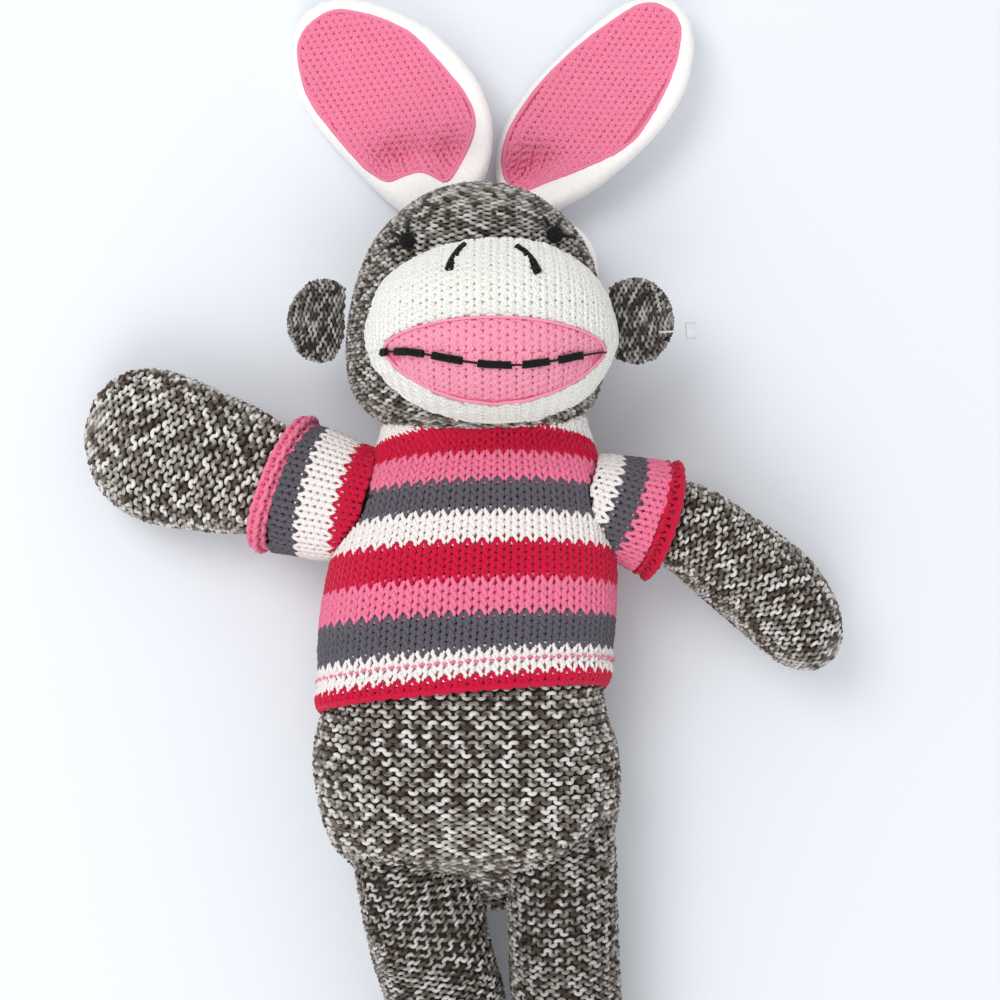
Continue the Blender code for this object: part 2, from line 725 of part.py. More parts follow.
def build_eyes(head, high, black, bead):
    tree = head.tree(head_rings, head_sides, fit_gap)
    head_room = cutter("eye_head_room", head.mesh(head_rings, head_sides, fit_gap))
    middle = head.origin.y
    for side, shares, turns in (("left", eye_left_shares, lash_left_turn_shares),
                                ("right", eye_right_shares, lash_right_turn_shares)):
        x = head.origin.x + head_half_width * shares[0]
        y = middle + head_length * shares[1]
        point, normal = drop_on(tree, x, y, high)
        lift = eye_radius * (eye_flatness_share - 2 * eye_flatness_share * eye_sink_share)
        seat = point + normal * lift
        shape = Form(seat - X_AXIS * eye_radius, X_AXIS, normal, 2 * eye_radius, eye_radius,
                     eye_radius * eye_flatness_share, start_cap=eye_radius, end_cap=eye_radius,
                     fullness=2.0)
        eye = place("eye_" + side, shape.mesh(2, thread_sides * 2), bead)
        boolean(eye, head_room)
        for n, turn in enumerate(turns):
            angle = math.radians(360) * turn
            ray = Vector((math.cos(angle), math.sin(angle), 0))
            points = []
            normals = []
            for k in range(lash_steps + 1):
                reach = lash_distance + lash_length * (k / lash_steps - 0.5)
                spot, way = drop_on(tree, x + ray.x * reach, y + ray.y * reach, high)
                points.append(spot + way * lash_radius)
                normals.append(way)
            place("lash_%s_%d" % (side, n + 1), cord(points, [lash_radius] * len(points), thread_sides,
                                                     normals), black)


def build_monkey_ears(head, marl):
    """Both ears, each with its seam as a straight line that just clears the head's side."""
    tree = head.tree(head_rings, head_sides, fit_gap)
    made = None
    head_room = cutter("ear_head_room", head.mesh(head_rings, head_sides, fit_gap))
    for side, sign, reach, height_share in (
            ("left", -1, monkey_ear_left_reach, monkey_ear_left_height_share),
            ("right", 1, monkey_ear_right_reach, monkey_ear_right_height_share)):
        height = head.origin.z + monkey_ear_above_head_axis
        middle_y = head.origin.y + head_length * height_share
        half = monkey_ear_half_height * monkey_ear_seam_share
        ends = []
        for step in (-1, 1):
            inside = Vector((head.origin.x, middle_y + half * step, height))
            ends.append(cast_from(tree, inside, X_AXIS * sign)[0])
        axis = (ends[1] - ends[0]).normalized()
        out = axis.cross(Z_AXIS) * sign
        out = (out if out.x * sign > 0 else -out).normalized()
        middle = (ends[0] + ends[1]) / 2
        bulge = 0.0
        for step in (-0.66, -0.33, 0, 0.33, 0.66):
            inside = Vector((head.origin.x, middle_y + half * step, height))
            bulge = max(bulge, (cast_from(tree, inside, X_AXIS * sign)[0] - middle).dot(out))
        start = middle + out * (bulge + fit_gap)
        ear = Form(start, out, Z_AXIS, reach, monkey_ear_half_height, monkey_ear_half_depth,
                   monkey_ear_width_shares, monkey_ear_depth_shares, end_cap=monkey_ear_end_cap,
                   fullness=2.0)
        hinge = start + out * ear.seam_radius()
        node = place("monkey_ear_" + side, ear.mesh(ear_rings - 3, ear_sides + 4), marl, hinge)
        boolean(node, head_room)
        print("monkey ear", side, "hinge", tuple(round(v, 5) for v in hinge), "axis",
              tuple(round(v, 5) for v in axis))
        made = ear
    return made


def build_bunny_ears(head, torso_top, fleece, lining_knit):
    tree = head.tree(head_rings, head_sides, fit_gap)
    for side, x, splay, roll, droop, root_gap in (
            ("left", bunny_ear_left_x, bunny_ear_left_splay, bunny_ear_left_roll,
             bunny_ear_left_droop, bunny_ear_left_root_gap),
            ("right", bunny_ear_right_x, bunny_ear_right_splay, bunny_ear_right_roll,
             bunny_ear_right_droop, bunny_ear_right_root_gap)):
        inside = Vector((x, head.origin.y + head_length - head_end_cap, bunny_ear_root_height))
        point, normal = cast_from(tree, inside, Y_AXIS)
        along = Matrix.Rotation(splay, 3, "Z") @ Y_AXIS
        along = (along - Z_AXIS * math.tan(droop)).normalized()
        up = Matrix.Rotation(roll, 3, along) @ Z_AXIS
        ear = Form(Vector(), along, up, bunny_ear_length, bunny_ear_half_width, bunny_ear_half_depth,
                   bunny_ear_width_shares, bunny_ear_depth_shares, end_cap=bunny_ear_end_cap,
                   fullness=bunny_ear_fullness)
        radius = ear.seam_radius()
        hinge = point + normal * (radius + root_gap)
        ear.origin = hinge - along * radius
        place("bunny_ear_back_" + side, ear.mesh(ear_rings, ear_sides, 0.0), fleece, hinge)
        lining = Form(ear.origin + ear.up * lining_rise, along, up, bunny_ear_length - lining_margin,
                      bunny_ear_half_width - lining_margin, lining_half_depth,
                      bunny_ear_width_shares, even_shares, end_cap=bunny_ear_end_cap - lining_margin / 2,
                      fullness=bunny_ear_fullness)
        pink = place("bunny_ear_lining_" + side,
                     lining.mesh(ear_rings, lining_sides, 0.0, lining_start_share), lining_knit, hinge)
        boolean(pink, cutter("lining_room_" + side, ear.mesh(ear_rings, ear_sides, fit_gap)))
        print("bunny ear", side, "hinge", tuple(round(v, 5) for v in hinge), "axis",
              tuple(round(v, 5) for v in ear.side))
    build_ear_band(head, fleece)


def build_ear_band(head, fleece):
    tree = head.tree(head_rings, head_sides, fit_gap)
    centre = Vector((head.origin.x, head.origin.y + head_length / 2, ear_band_height))
    points = []
    radii = []
    normals = []
    for k in range(ear_band_steps + 1):
        share = k / ear_band_steps
        turn = ear_band_turn_shares[0] + (ear_band_turn_shares[1] - ear_band_turn_shares[0]) * share
        angle = math.radians(360) * turn
        spot, way = cast_from(tree, centre, Vector((math.cos(angle), math.sin(angle), 0)))
        along = ear_band_tip_share + (1 - 2 * ear_band_tip_share) * share
        taper = math.sin(math.radians(180) * along) ** 0.5
        points.append(spot + way * (ear_band_half_depth + fit_gap))
        radii.append(ear_band_half_height * taper)
        normals.append(way)
    flatness = ear_band_half_depth / ear_band_half_height
    band = place("ear_band", cord(points, radii, thread_sides + 2, normals, flatness), fleece)
    boolean(band, cutter("band_head_room", head.mesh(head_rings, head_sides, fit_gap)))


def build_tag(ear, plastic):
    """The clear T-end and thread that once held the hang tag."""
    tree = ear.tree(ear_rings - 3, ear_sides + 4, fit_gap)
    inside = ear.section(tag_place_shares[0])[0] + ear.side * (ear.half_width * tag_place_shares[1])
    spot, way = cast_from(tree, inside, ear.up)
    ahead = ear.along
    start = spot + way * (tag_thread_radius + fit_gap)
    points = [start + ahead * (tag_length * k / tag_steps) for k in range(tag_steps + 1)]
    bm = cord(points, [tag_thread_radius] * len(points), thread_sides)
    tag = place("tag_fastener", bm, plastic)
    paddle = Form(points[-1] - ahead * tag_thread_radius, ahead, Z_AXIS, 2 * tag_paddle_half_width,
                  tag_paddle_half_length, tag_paddle_thickness / 2,
                  fullness=tag_paddle_fullness)
    end = cutter("tag_paddle", paddle.mesh(2, 10, 0.0, 0.0))
    boolean(tag, end, "UNION")


def build_arms(torso, floor, marl, stuffing):
    made = {}
    for side, sign, shoulder_drop, turn, drop, length, width, depth, cap, widths, depths, drifts in (
            ("left", -1, arm_left_shoulder_drop, arm_left_turn, arm_left_drop, arm_left_length,
             arm_left_half_width, arm_left_half_depth, arm_left_end_cap, arm_left_width_shares,
             arm_left_depth_shares, arm_left_drift_shares),
            ("right", 1, arm_right_shoulder_drop, arm_right_turn, arm_right_drop, arm_right_length,
             arm_right_half_width, arm_right_half_depth, arm_right_end_cap, arm_right_width_shares,
             arm_right_depth_shares, arm_right_drift_shares)):
        share = (torso_length - shoulder_drop) / torso_length
        centre, half_width, _ = torso.section(share)
        along = Vector((math.cos(turn), math.sin(turn), -math.tan(drop))).normalized()
        level = Vector((along.x, along.y, 0)).normalized()
        tree = torso.tree(torso_rings, torso_sides, fit_gap)
        seat, way = cast_from(tree, centre, X_AXIS * sign)
        seat.z = centre.z
        arm = Form(Vector(), along, Z_AXIS, length, width, depth, widths, depths, drifts,
                   end_cap=cap, fullness=limb_fullness)
        radius = arm.seam_radius()
        half_seam = width * smooth_value(widths, 0)
        need = 0.0
        for step in (-1, -0.5, 0, 0.5, 1):
            offset = arm.side * (half_seam * step)
            spot, _ = cast_from(tree, centre + Vector((0, offset.y, 0)), X_AXIS * sign)
            need = max(need, (spot - (seat + offset)).dot(level))
        start = seat + level * (need + fit_gap)
        arm.origin = start
        hinge = start + along * radius
        skin = place("arm_skin_" + side, arm.mesh(limb_rings, limb_sides), marl, hinge)
        boolean(skin, cutter("arm_inside_" + side, arm.mesh(inner_rings, inner_sides, -skin_wall)))
        boolean(skin, floor)
        fill_bm = arm.mesh(inner_rings, inner_sides, -skin_wall - stuffing_gap, skip=2)
        place("arm_stuffing_" + side, fill_bm, stuffing, hinge)
        made[side] = (arm, hinge)
        print("arm", side, "hinge", tuple(round(v, 5) for v in hinge), "axis",
              tuple(round(v, 5) for v in arm.side))
    return made


def build_legs(torso, floor, marl, stuffing):
    torso_room = torso.mesh(torso_rings, torso_sides, fit_gap)
    room = cutter("leg_torso_room", torso_room)
    deep_room = cutter("leg_stuffing_torso_room", torso.mesh(torso_rings, torso_sides, leg_stuffing_room))
    for side, x, rise, turn, width, drifts in (
            ("left", leg_left_x, hip_left_rise, leg_left_turn, leg_left_half_width, leg_left_drift_shares),
            ("right", leg_right_x, hip_right_rise, leg_right_turn, leg_right_half_width,
             leg_right_drift_shares)):
        along = Vector((math.cos(turn), math.sin(turn), -math.tan(leg_drop))).normalized()
        start = Vector((x, rise - torso_below_origin, hip_seam_height))
        leg = Form(start, along, Z_AXIS, leg_length, width, leg_half_depth, leg_width_shares,
                   leg_depth_shares, drifts, end_cap=leg_end_cap, fullness=limb_fullness)
        hinge = start + along * leg.seam_radius()
        skin = place("leg_skin_" + side, leg.mesh(limb_rings, limb_sides), marl, hinge)
        boolean(skin, cutter("leg_inside_" + side, leg.mesh(inner_rings, inner_sides, -skin_wall)))
        boolean(skin, room)
        boolean(skin, floor)
        fill_bm = leg.mesh(inner_rings, inner_sides, -skin_wall - stuffing_gap, skip=2)
        fill = place("leg_stuffing_" + side, fill_bm, stuffing, hinge)
        boolean(fill, deep_room)
        for n, angle in enumerate(leg_swings):
            swung = torso.mesh(torso_rings, torso_sides, fit_gap)
            swing = Matrix.Translation(hinge) @ Matrix.Rotation(-angle, 4, leg.side)
            swing = swing @ Matrix.Translation(-hinge)
            bmesh.ops.transform(swung, matrix=swing, verts=swung.verts)
            boolean(skin, cutter("leg_swing_room_%s_%d" % (side, n + 1), swung))
        print("leg", side, "hinge", tuple(round(v, 5) for v in hinge), "axis",
              tuple(round(v, 5) for v in leg.side))


def build_sweater(torso, arms, crimson, rose):
    outer = fit_gap + sweater_thickness
    body = place("sweater_body", torso.mesh(torso_rings, torso_sides, outer), rose)
    boolean(body, cutter("sweater_inside", torso.mesh(torso_rings, torso_sides, fit_gap)))

    turn = Matrix.Rotation(hem_slant, 3, "Z") @ Matrix.Rotation(-hem_tilt, 3, "X")
    hem_middle = Vector((0, hem_centre_y, torso_half_depth))
    reach = torso_length
    band_top = hem_middle + turn @ Y_AXIS * hem_band_width
    below = block(band_top + turn @ Y_AXIS * (fit_gap - reach), (reach, reach, reach), turn)
    boolean(body, cutter("sweater_hem_cut", below))
    band_start = torso.section(neckband_start_share)[0]
    above = block(band_start + Y_AXIS * (reach - fit_gap), (reach, reach, reach))
    boolean(body, cutter("sweater_top_cut", above))

    band = place("sweater_hem", torso.mesh(torso_rings, torso_sides, fit_gap + hem_band_thickness),
                 crimson)
    slab = block(hem_middle + turn @ Y_AXIS * (hem_band_width / 2), (reach, hem_band_width / 2, reach), turn)
    boolean(band, cutter("hem_slab", slab), "INTERSECT")
    boolean(band, cutter("hem_inside", torso.mesh(torso_rings, torso_sides, fit_gap)))

    tree = torso.tree(torso_rings, torso_sides, outer + fit_gap)
    stitch_middle = band_top + turn @ Y_AXIS * hem_thread_rise
    points = []
    normals = []
    for k in range(hem_thread_steps):
        angle = math.radians(360) * k / hem_thread_steps
        spot, way = cast_from(tree, stitch_middle, turn @ Vector((math.cos(angle), 0, math.sin(angle))))
        points.append(spot + way * (hem_thread_radius + fit_gap))
        normals.append(way)
    place("hem_thread", cord(points, [hem_thread_radius] * len(points), thread_sides - 2, normals,
                             closed=True), rose)

    return build_sleeves(torso, body, arms, crimson, rose)


def build_neckband(torso, head, muzzle, sleeves, neck_centre, white_knit):
    """The soft neck of the sweater, from the shoulders up to the underside of the head."""
    outer = torso.tree(torso_rings, torso_sides, fit_gap + sweater_thickness)
    skull = head.tree(head_rings, head_sides, fit_gap)
    chin = muzzle.tree(muzzle_rings, muzzle_sides, fit_gap)
    start = torso.section(neckband_start_share)[0]
    loops = [[], [], [], []]
    bm = bmesh.new()
    for k in range(neckband_steps):
        angle = math.radians(360) * k / neckband_steps
        way = Vector((power(math.cos(angle), 0.9), 0, power(math.sin(angle), 0.9)))
        foot, _ = cast_from(outer, start, way.normalized())
        top = Vector((neck_centre.x + neckband_half_width * way.x, 0,
                      neck_centre.z + neckband_centre_rise + neckband_half_depth * way.z))
        heights = []
        for tree in (skull, chin):
            below = Vector((top.x, start.y, top.z))
            hit = tree.ray_cast(below, Y_AXIS)[0]
            if hit is not None:
                heights.append(hit.y)
        top.y = min(heights) - fit_gap * 2
        inwards = (start - foot).normalized() * sweater_thickness
        loops[0].append(bm.verts.new(foot))
        loops[1].append(bm.verts.new(top))
        loops[2].append(bm.verts.new(top + inwards - Y_AXIS * fit_gap))
        loops[3].append(bm.verts.new(foot + inwards))
    for here, there in zip(loops, loops[1:] + loops[:1]):
        for k in range(neckband_steps):
            n = (k + 1) % neckband_steps
            bm.faces.new((here[k], there[k], there[n]))
            bm.faces.new((here[k], there[n], here[n]))
    bmesh.ops.recalc_face_normals(bm, faces=bm.faces)
    band = place("sweater_neckband", bm, white_knit)
    boolean(band, cutter("neckband_torso_room", torso.mesh(torso_rings, torso_sides, fit_gap)))
    boolean(band, cutter("neckband_head_room", head.mesh(head_rings, head_sides, fit_gap)))
    for side, sleeve in sleeves.items():
        bm = sleeve.mesh(sleeve_rings, sleeve_sides, fit_gap, 0.0)
        boolean(band, cutter("neckband_sleeve_room_" + side, bm))


def build_sleeves(torso, body, arms, crimson, rose):
    outside = fit_gap + sweater_thickness + fit_gap
    room = cutter("sleeve_sweater_room", torso.mesh(torso_rings, torso_sides, outside))
    made = {}
    for side, length, width, depth, slant in (
            ("left", sleeve_left_length, sleeve_left_half_width, sleeve_left_half_depth,
             sleeve_left_slant_share),
            ("right", sleeve_right_length, sleeve_right_half_width, sleeve_right_half_depth,
             sleeve_right_slant_share)):
        arm, hinge = arms[side]
        start = arm.origin - arm.along * sleeve_inset
        whole = sleeve_inset + length
        scale = arm.half_width / width
        drifts = [(0, 0.0)]
        for k in range(1, limb_rings):
            share = k / (limb_rings - 1)
            on_arm = max(whole * share - sleeve_inset, 0) / arm.length
            drifts.append((share, smooth_value(arm.drift_shares, on_arm) * scale))
        sleeve = Form(start, arm.along, arm.up, whole, width, depth, sleeve_width_shares,
                      sleeve_depth_shares, drifts, fullness=limb_fullness)
        node = place("sleeve_" + side, sleeve.mesh(sleeve_rings, sleeve_sides, 0.0, 0.0, 0, slant),
                     rose, hinge)
        bore = sleeve_bore(sleeve, slant)
        boolean(node, cutter("sleeve_bore_" + side, bore))
        boolean(node, room)
        centre, half_w, half_d = sleeve.section(1.0, -sleeve_thickness / 2)
        centre += sleeve.along * (cuff_radius + fit_gap)
        points = []
        for k in range(cuff_steps):
            angle = math.radians(360) * k / cuff_steps
            across = half_w * power(math.cos(angle), 2 / sleeve.fullness)
            above = half_d * power(math.sin(angle), 2 / sleeve.fullness)
            ahead = sleeve.along * (slant * across)
            points.append(centre + sleeve.side * across + sleeve.up * above + ahead)
        normals = [sleeve.along] * cuff_steps
        ring = cord(points, [cuff_radius] * cuff_steps, thread_sides, normals, closed=True)
        bmesh.ops.recalc_face_normals(ring, faces=ring.faces)
        place("cuff_" + side, ring, crimson, hinge)
        cut_armhole(body, arm, hinge, side)
        made[side] = sleeve
    return made


def sleeve_bore(sleeve, slant):
    """The inside of a sleeve, run on a little past both of its ends."""
    bm = sleeve.mesh(sleeve_rings, sleeve_sides, -sleeve_thickness, 0.0, 0, slant)
    bm.verts.ensure_lookup_table()
    for k in range(sleeve_sides):
        bm.verts[k].co -= sleeve.along * cut_overrun
        bm.verts[len(bm.verts) - 1 - k].co += sleeve.along * cut_overrun
    return bm


def cut_armhole(body, arm, hinge, side):
    bore = oval_prism(hinge, arm.along, arm.up, arm.half_width, armhole_half_length,
                      armhole_half_height, inner_sides)
    boolean(body, cutter("armhole_" + side, bore))


if __name__ == "__main__":
    main()
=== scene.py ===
# %% [markdown]
# # A knitted sock monkey doll, built stitch by stitch
#
# The doll lies on its back on a pale table and is seen from straight above. Its head, torso, arms
# and legs are tubes of chunky marl knit, stuffed with fibre. It wears a striped knitted sweater and
# a pair of plush ears lined with pink knit.
#
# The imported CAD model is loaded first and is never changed. Everything that is made below is laid
# over it, in metres, in the same place, so no piece has to be fitted afterwards.

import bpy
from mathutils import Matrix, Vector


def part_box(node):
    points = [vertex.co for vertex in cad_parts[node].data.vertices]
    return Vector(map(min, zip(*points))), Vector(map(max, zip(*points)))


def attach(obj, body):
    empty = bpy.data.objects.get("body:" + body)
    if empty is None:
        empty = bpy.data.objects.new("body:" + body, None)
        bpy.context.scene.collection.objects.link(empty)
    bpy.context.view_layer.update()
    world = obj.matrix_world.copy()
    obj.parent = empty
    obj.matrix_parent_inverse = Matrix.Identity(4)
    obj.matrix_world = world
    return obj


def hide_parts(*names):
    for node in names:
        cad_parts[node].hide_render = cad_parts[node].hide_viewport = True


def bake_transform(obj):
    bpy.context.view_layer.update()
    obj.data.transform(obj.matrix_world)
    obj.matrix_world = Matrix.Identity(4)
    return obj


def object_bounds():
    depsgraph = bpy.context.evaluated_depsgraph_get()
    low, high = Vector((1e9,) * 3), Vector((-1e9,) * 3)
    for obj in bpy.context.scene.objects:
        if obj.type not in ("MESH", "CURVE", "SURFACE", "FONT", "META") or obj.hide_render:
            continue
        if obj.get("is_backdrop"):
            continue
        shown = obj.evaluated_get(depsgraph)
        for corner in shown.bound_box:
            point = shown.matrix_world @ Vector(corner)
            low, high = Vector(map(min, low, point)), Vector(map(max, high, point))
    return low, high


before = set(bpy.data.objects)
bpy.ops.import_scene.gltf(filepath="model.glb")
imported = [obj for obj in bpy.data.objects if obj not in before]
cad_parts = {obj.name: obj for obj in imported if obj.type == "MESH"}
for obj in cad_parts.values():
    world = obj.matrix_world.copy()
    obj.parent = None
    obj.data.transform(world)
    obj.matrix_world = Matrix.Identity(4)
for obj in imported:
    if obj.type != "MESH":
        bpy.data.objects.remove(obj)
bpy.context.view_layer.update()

# %% modules and units
import math

import bmesh
import bpy
import numpy as np
from mathutils import Vector
from mathutils.bvhtree import BVHTree

mm = 0.001
scene = bpy.context.scene

# %% [markdown]
# ## Reading the shape of a stuffed form
#
# A stuffed tube is a surface wound round a middle line. To knit over one, two things are needed at
# every spot: where the surface is, and which way is out. They are measured on the frame by casting
# rays from outside towards the middle line, in rings, as fingers close round an arm. Sculpting each
# surface by hand would also work, but it would drift away from the frame.

# %% cast rays on the frame
straight_up, straight_down = Vector((0, 0, 1)), Vector((0, 0, -1))
ray_length = 120 * mm
overhead = 200 * mm
too_near = 1.5 * mm


def shape_of(*names):
    """A tree for casting rays on some nodes of the frame."""
    corners, faces = [], []
    for name in names:
        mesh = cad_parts[name].data
        first = len(corners)
        corners.extend(vertex.co.copy() for vertex in mesh.vertices)
        faces.extend([first + k for k in polygon.vertices] for polygon in mesh.polygons)
    return BVHTree.FromPolygons(corners, faces)


def unit(vectors):
    """The same directions, each one long."""
    size = np.linalg.norm(vectors, axis=-1, keepdims=True)
    return vectors / np.maximum(size, 1e-12)


def reach_to(tree, centre, way):
    """How far the surface lies from a centre along a way out, or NaN where there is none."""
    spot = tree.ray_cast(Vector(centre + way * ray_length), Vector(-way), ray_length)[0]
    reach = 0.0 if spot is None else float(np.dot(np.array(spot) - centre, way))
    return reach if reach > too_near else np.nan



# %% find the middle line of a limb
def middle_line(tree, first, last, spots=28, rounds=4):
    """Bends a straight guess until each spot is in the middle of the limb."""
    line = np.linspace(np.array(first) * mm, np.array(last) * mm, spots)
    angles = np.radians(np.arange(0, 360, 20))
    for _ in range(rounds):
        axes = unit(np.gradient(line, axis=0))
        moved = line.copy()
        for k in range(spots):
            side = unit(np.cross(axes[k], (0, 0, 1.0)))
            up = np.cross(side, axes[k])
            ways = [math.cos(a) * side + math.sin(a) * up for a in angles]
            far = np.array([reach_to(tree, line[k], way) for way in ways])
            if np.isnan(far).mean() > 0.4:
                continue
            far = np.where(np.isnan(far), np.nanmean(far), far)
            ring = line[k] + np.array(ways) * far[:, None]
            moved[k] = ring.mean(0)
        for _ in range(2):
            moved[1:-1] = (moved[:-2] + 2 * moved[1:-1] + moved[2:]) / 4
        line = moved
    return line


# %% places for the rings of a net
net_spots = 96
front_spot = np.array([net_spots / 2])
cap_turn = 4.0
cap_limit = 88.5


def tape_along(line):
    """How far each point of a line lies from its start, as a tape measures it."""
    spans = np.linalg.norm(np.diff(line, axis=0), axis=1)
    return np.concatenate([[0], np.cumsum(spans)])


def stations(line, cap_first=0, cap_last=90, step=1.5 * mm):
    """Places to stand a ring: along the line, then turning over each capped end."""
    at = tape_along(line)
    along = np.linspace(0, at[-1], max(3, int(at[-1] / step) + 1))
    centres = np.stack([np.interp(along, at, line[:, k]) for k in range(3)], 1)
    axes = unit(np.gradient(centres, axis=0))
    rows = [(centres[k], axes[k], 90.0) for k in range(len(along))]
    for k in range(1, int(cap_last / cap_turn) + 1):
        rows.append((centres[-1], axes[-1], 90 - min(cap_turn * k, cap_limit)))
    for k in range(1, int(cap_first / cap_turn) + 1):
        rows.insert(0, (centres[0], axes[0], 90 + min(cap_turn * k, cap_limit)))
    return rows


# %% wrap a fine net round a form
def smooth_net(far, closed, turns):
    """Evens out the flat facets of the CAD solid, without moving the whole surface."""
    for _ in range(turns):
        if closed:
            far = (np.roll(far, 1, 1) + 2 * far + np.roll(far, -1, 1)) / 4
        else:
            far[:, 1:-1] = (far[:, :-2] + 2 * far[:, 1:-1] + far[:, 2:]) / 4
        far[1:-1] = (far[:-2] + 2 * far[1:-1] + far[2:]) / 4
    return far


def filled(values, period=None):
    """Carries the nearest readings over places where a ray found nothing."""
    places, good = np.arange(len(values)), ~np.isnan(values)
    return np.interp(places, places[good], values[good], period=period)


def fill_gaps(far):
    """The same for a whole net: round each ring, then from ring to ring."""
    for k, row in enumerate(far):
        missed = np.isnan(row)
        if missed.any() and not missed.all():
            far[k] = filled(row, period=len(row))
    print("rings read:", int((~np.isnan(far[:, 0])).sum()), "of", len(far))
    for j in range(far.shape[1]):
        far[:, j] = filled(far[:, j])
    return far


def wrap(tree, rows, spread=180, turns=10):
    """A net of points on the surface: one ring for each station, from seam to seam.
    The middle of each ring is at the front. spread 180 closes the ring at the back."""
    angles = np.radians(np.linspace(-spread, spread, net_spots + 1))
    front = np.array((0, 0, 1.0))
    net_centres, net_ways, far = [], [], []
    for centre, axis, lean in rows:
        fore = unit(front - np.dot(front, axis) * axis)
        side = np.cross(fore, axis)
        lean = math.radians(lean)
        ways = (np.cos(angles)[:, None] * fore + np.sin(angles)[:, None] * side) * math.sin(lean)
        ways = ways + math.cos(lean) * axis
        far.append([reach_to(tree, centre, way) for way in ways])
        net_centres.append(centre)
        net_ways.append(ways)
    far = fill_gaps(np.array(far))
    closed = spread == 180
    if closed:
        far = smooth_net(far[:, :-1], True, turns)
        far = np.concatenate([far, far[:, :1]], 1)
    else:
        far = smooth_net(far, False, turns)
    net = np.array(net_centres)[:, None] + np.array(net_ways) * far[..., None]
    return {"net": net, "closed": closed}


# %% [markdown]
# ## From a net to knitted rows
#
# Knitting is one yarn that runs round and round in rows of loops. A row is a line round the form,
# and rows lie an even distance apart. So each net is measured with a tape in both directions, and
# lines are laid over it: the wale width sets how many loops go round, and the course height sets
# how many rows there are. The loops themselves are made later from these plain lines.

# %% directions on the net
def finish_net(surface):
    """Adds the way out, the way across and the tape measures to a net."""
    net = surface["net"]
    across = np.gradient(net, axis=1)
    if surface["closed"]:
        ends = net[:, 1] - net[:, -2]
        across[:, 0] = across[:, -1] = ends / 2
    along = np.gradient(net, axis=0)
    out = np.cross(across, along)
    small = np.linalg.norm(out, axis=-1) < 1e-14
    out = unit(out)
    out[small] = np.nan
    middle = net.mean(axis=(0, 1))
    if np.nansum(out * (net - middle)) < 0:
        out = -out
    for k in range(len(out)):
        if np.isnan(out[k]).any():
            out[k] = out[k - 1] if k else out[k + 1]
    surface["out"] = out
    spans = np.linalg.norm(np.diff(net, axis=0), axis=-1).mean(axis=1)
    surface["tape"] = np.concatenate([[0], np.cumsum(spans)])
    return surface


def look_up(grid, level, places):
    """Reads a net between its rows and between its spots."""
    level = min(max(level, 0), len(grid) - 1.0001)
    low = int(level)
    share = level - low
    row = grid[low] * (1 - share) + grid[low + 1] * share
    first = np.clip(places.astype(int), 0, grid.shape[1] - 2)
    part = (places - first)[:, None]
    return row[first] * (1 - part) + row[first + 1] * part


# %% lay the rows of loops
points_per_loop = 12


def turns_of_row(surface, tape, wale, count):
    """Where each point of a row lies, in loops from its middle, and the width of a loop."""
    if surface["closed"]:
        whole = tape[-1] - tape[0]
        loops = count or max(3, int(round(whole / wale)))
        return np.arange(loops * points_per_loop + 1) / points_per_loop - loops / 2, whole / loops
    left, right = int(-tape[0] / wale), int(tape[-1] / wale)
    return np.arange(-left * points_per_loop, right * points_per_loop + 1) / points_per_loop, wale


def lay_rows(surface, levels, wale, count=None, dyes=(1.0, 1.0, 1.0), keep=None, loop=None):
    """Lines of points for every row, with all that the loop maker needs at each point.
    dyes: one colour, or a list with one for each row. keep: says which yarn is not left out, and
    is asked where the yarn of this kind of loop will lie."""
    net, out = surface["net"], surface["out"]
    spots = np.arange(net.shape[1], dtype=float)
    rows = []
    for number, (level, gap) in enumerate(zip(levels, np.gradient(levels))):
        tape = tape_along(look_up(net, level, spots))
        tape -= np.interp(spots[-1] / 2, spots, tape)
        turn, width = turns_of_row(surface, tape, wale, count)
        if len(turn) < points_per_loop:
            continue
        places = np.interp(turn * width, tape, spots)
        spot = look_up(net, level, places)
        way_out = unit(look_up(out, level, places))
        across = unit(look_up(net, level, places + 0.25) - look_up(net, level, places - 0.25))
        rise = look_up(net, level + gap / 2, places) - look_up(net, level - gap / 2, places)
        rise = rise - across * (rise * across).sum(1)[:, None]
        tall = np.linalg.norm(rise, axis=1, keepdims=True)
        rise = unit(rise - way_out * (rise * way_out).sum(1)[:, None]) * tall
        phase = turn * 2 * math.pi
        shown = np.ones(len(turn), bool)
        if keep is not None:
            swing = loop["Loop_reach"] * np.sin(2 * phase)
            climb = loop["Loop_height"] * np.cos(phase)
            shown = keep(spot + across * (width * swing)[:, None] + rise * climb[:, None], way_out)
        colour = dyes[number] if isinstance(dyes, list) else dyes
        rows.append({"spot": spot, "out": way_out, "across": across * width, "rise": rise,
                     "phase": phase, "shown": shown, "row": np.full(len(turn), float(number)),
                     "dye": np.tile((*colour, 1.0), (len(turn), 1))})
    return rows


def even_levels(surface, course):
    """Rows the same distance apart, measured along the surface."""
    tape = surface["tape"]
    rows = max(2, int(round(tape[-1] / course)))
    marks = (np.arange(rows) + 0.5) * tape[-1] / rows
    return np.interp(marks, tape, np.arange(len(tape)))


# %% [markdown]
# ## The loop maker
#
# A knitted loop is a curve that swings sideways, up and down, and in and out at the same time. With
# t going once round for each loop, the yarn moves sideways by sin 2t, up by cos t and outwards by
# cos 2t. With the heads of the loops outside, the fabric shows its purl side, as the doll's marl
# does. With the legs outside, it shows the V of the knit side, as the sweater does.
#
# Geometry Nodes do this well: the tree takes plain lines, moves each point by its phase, and sweeps
# a round profile along the result. One tree then knits every fabric of the doll, and only its named
# inputs change.

# %% helpers for trees of nodes
def link_math(tree, kind, *values):
    node = tree.nodes.new("ShaderNodeMath")
    node.operation = kind
    return plug(tree, node, values)


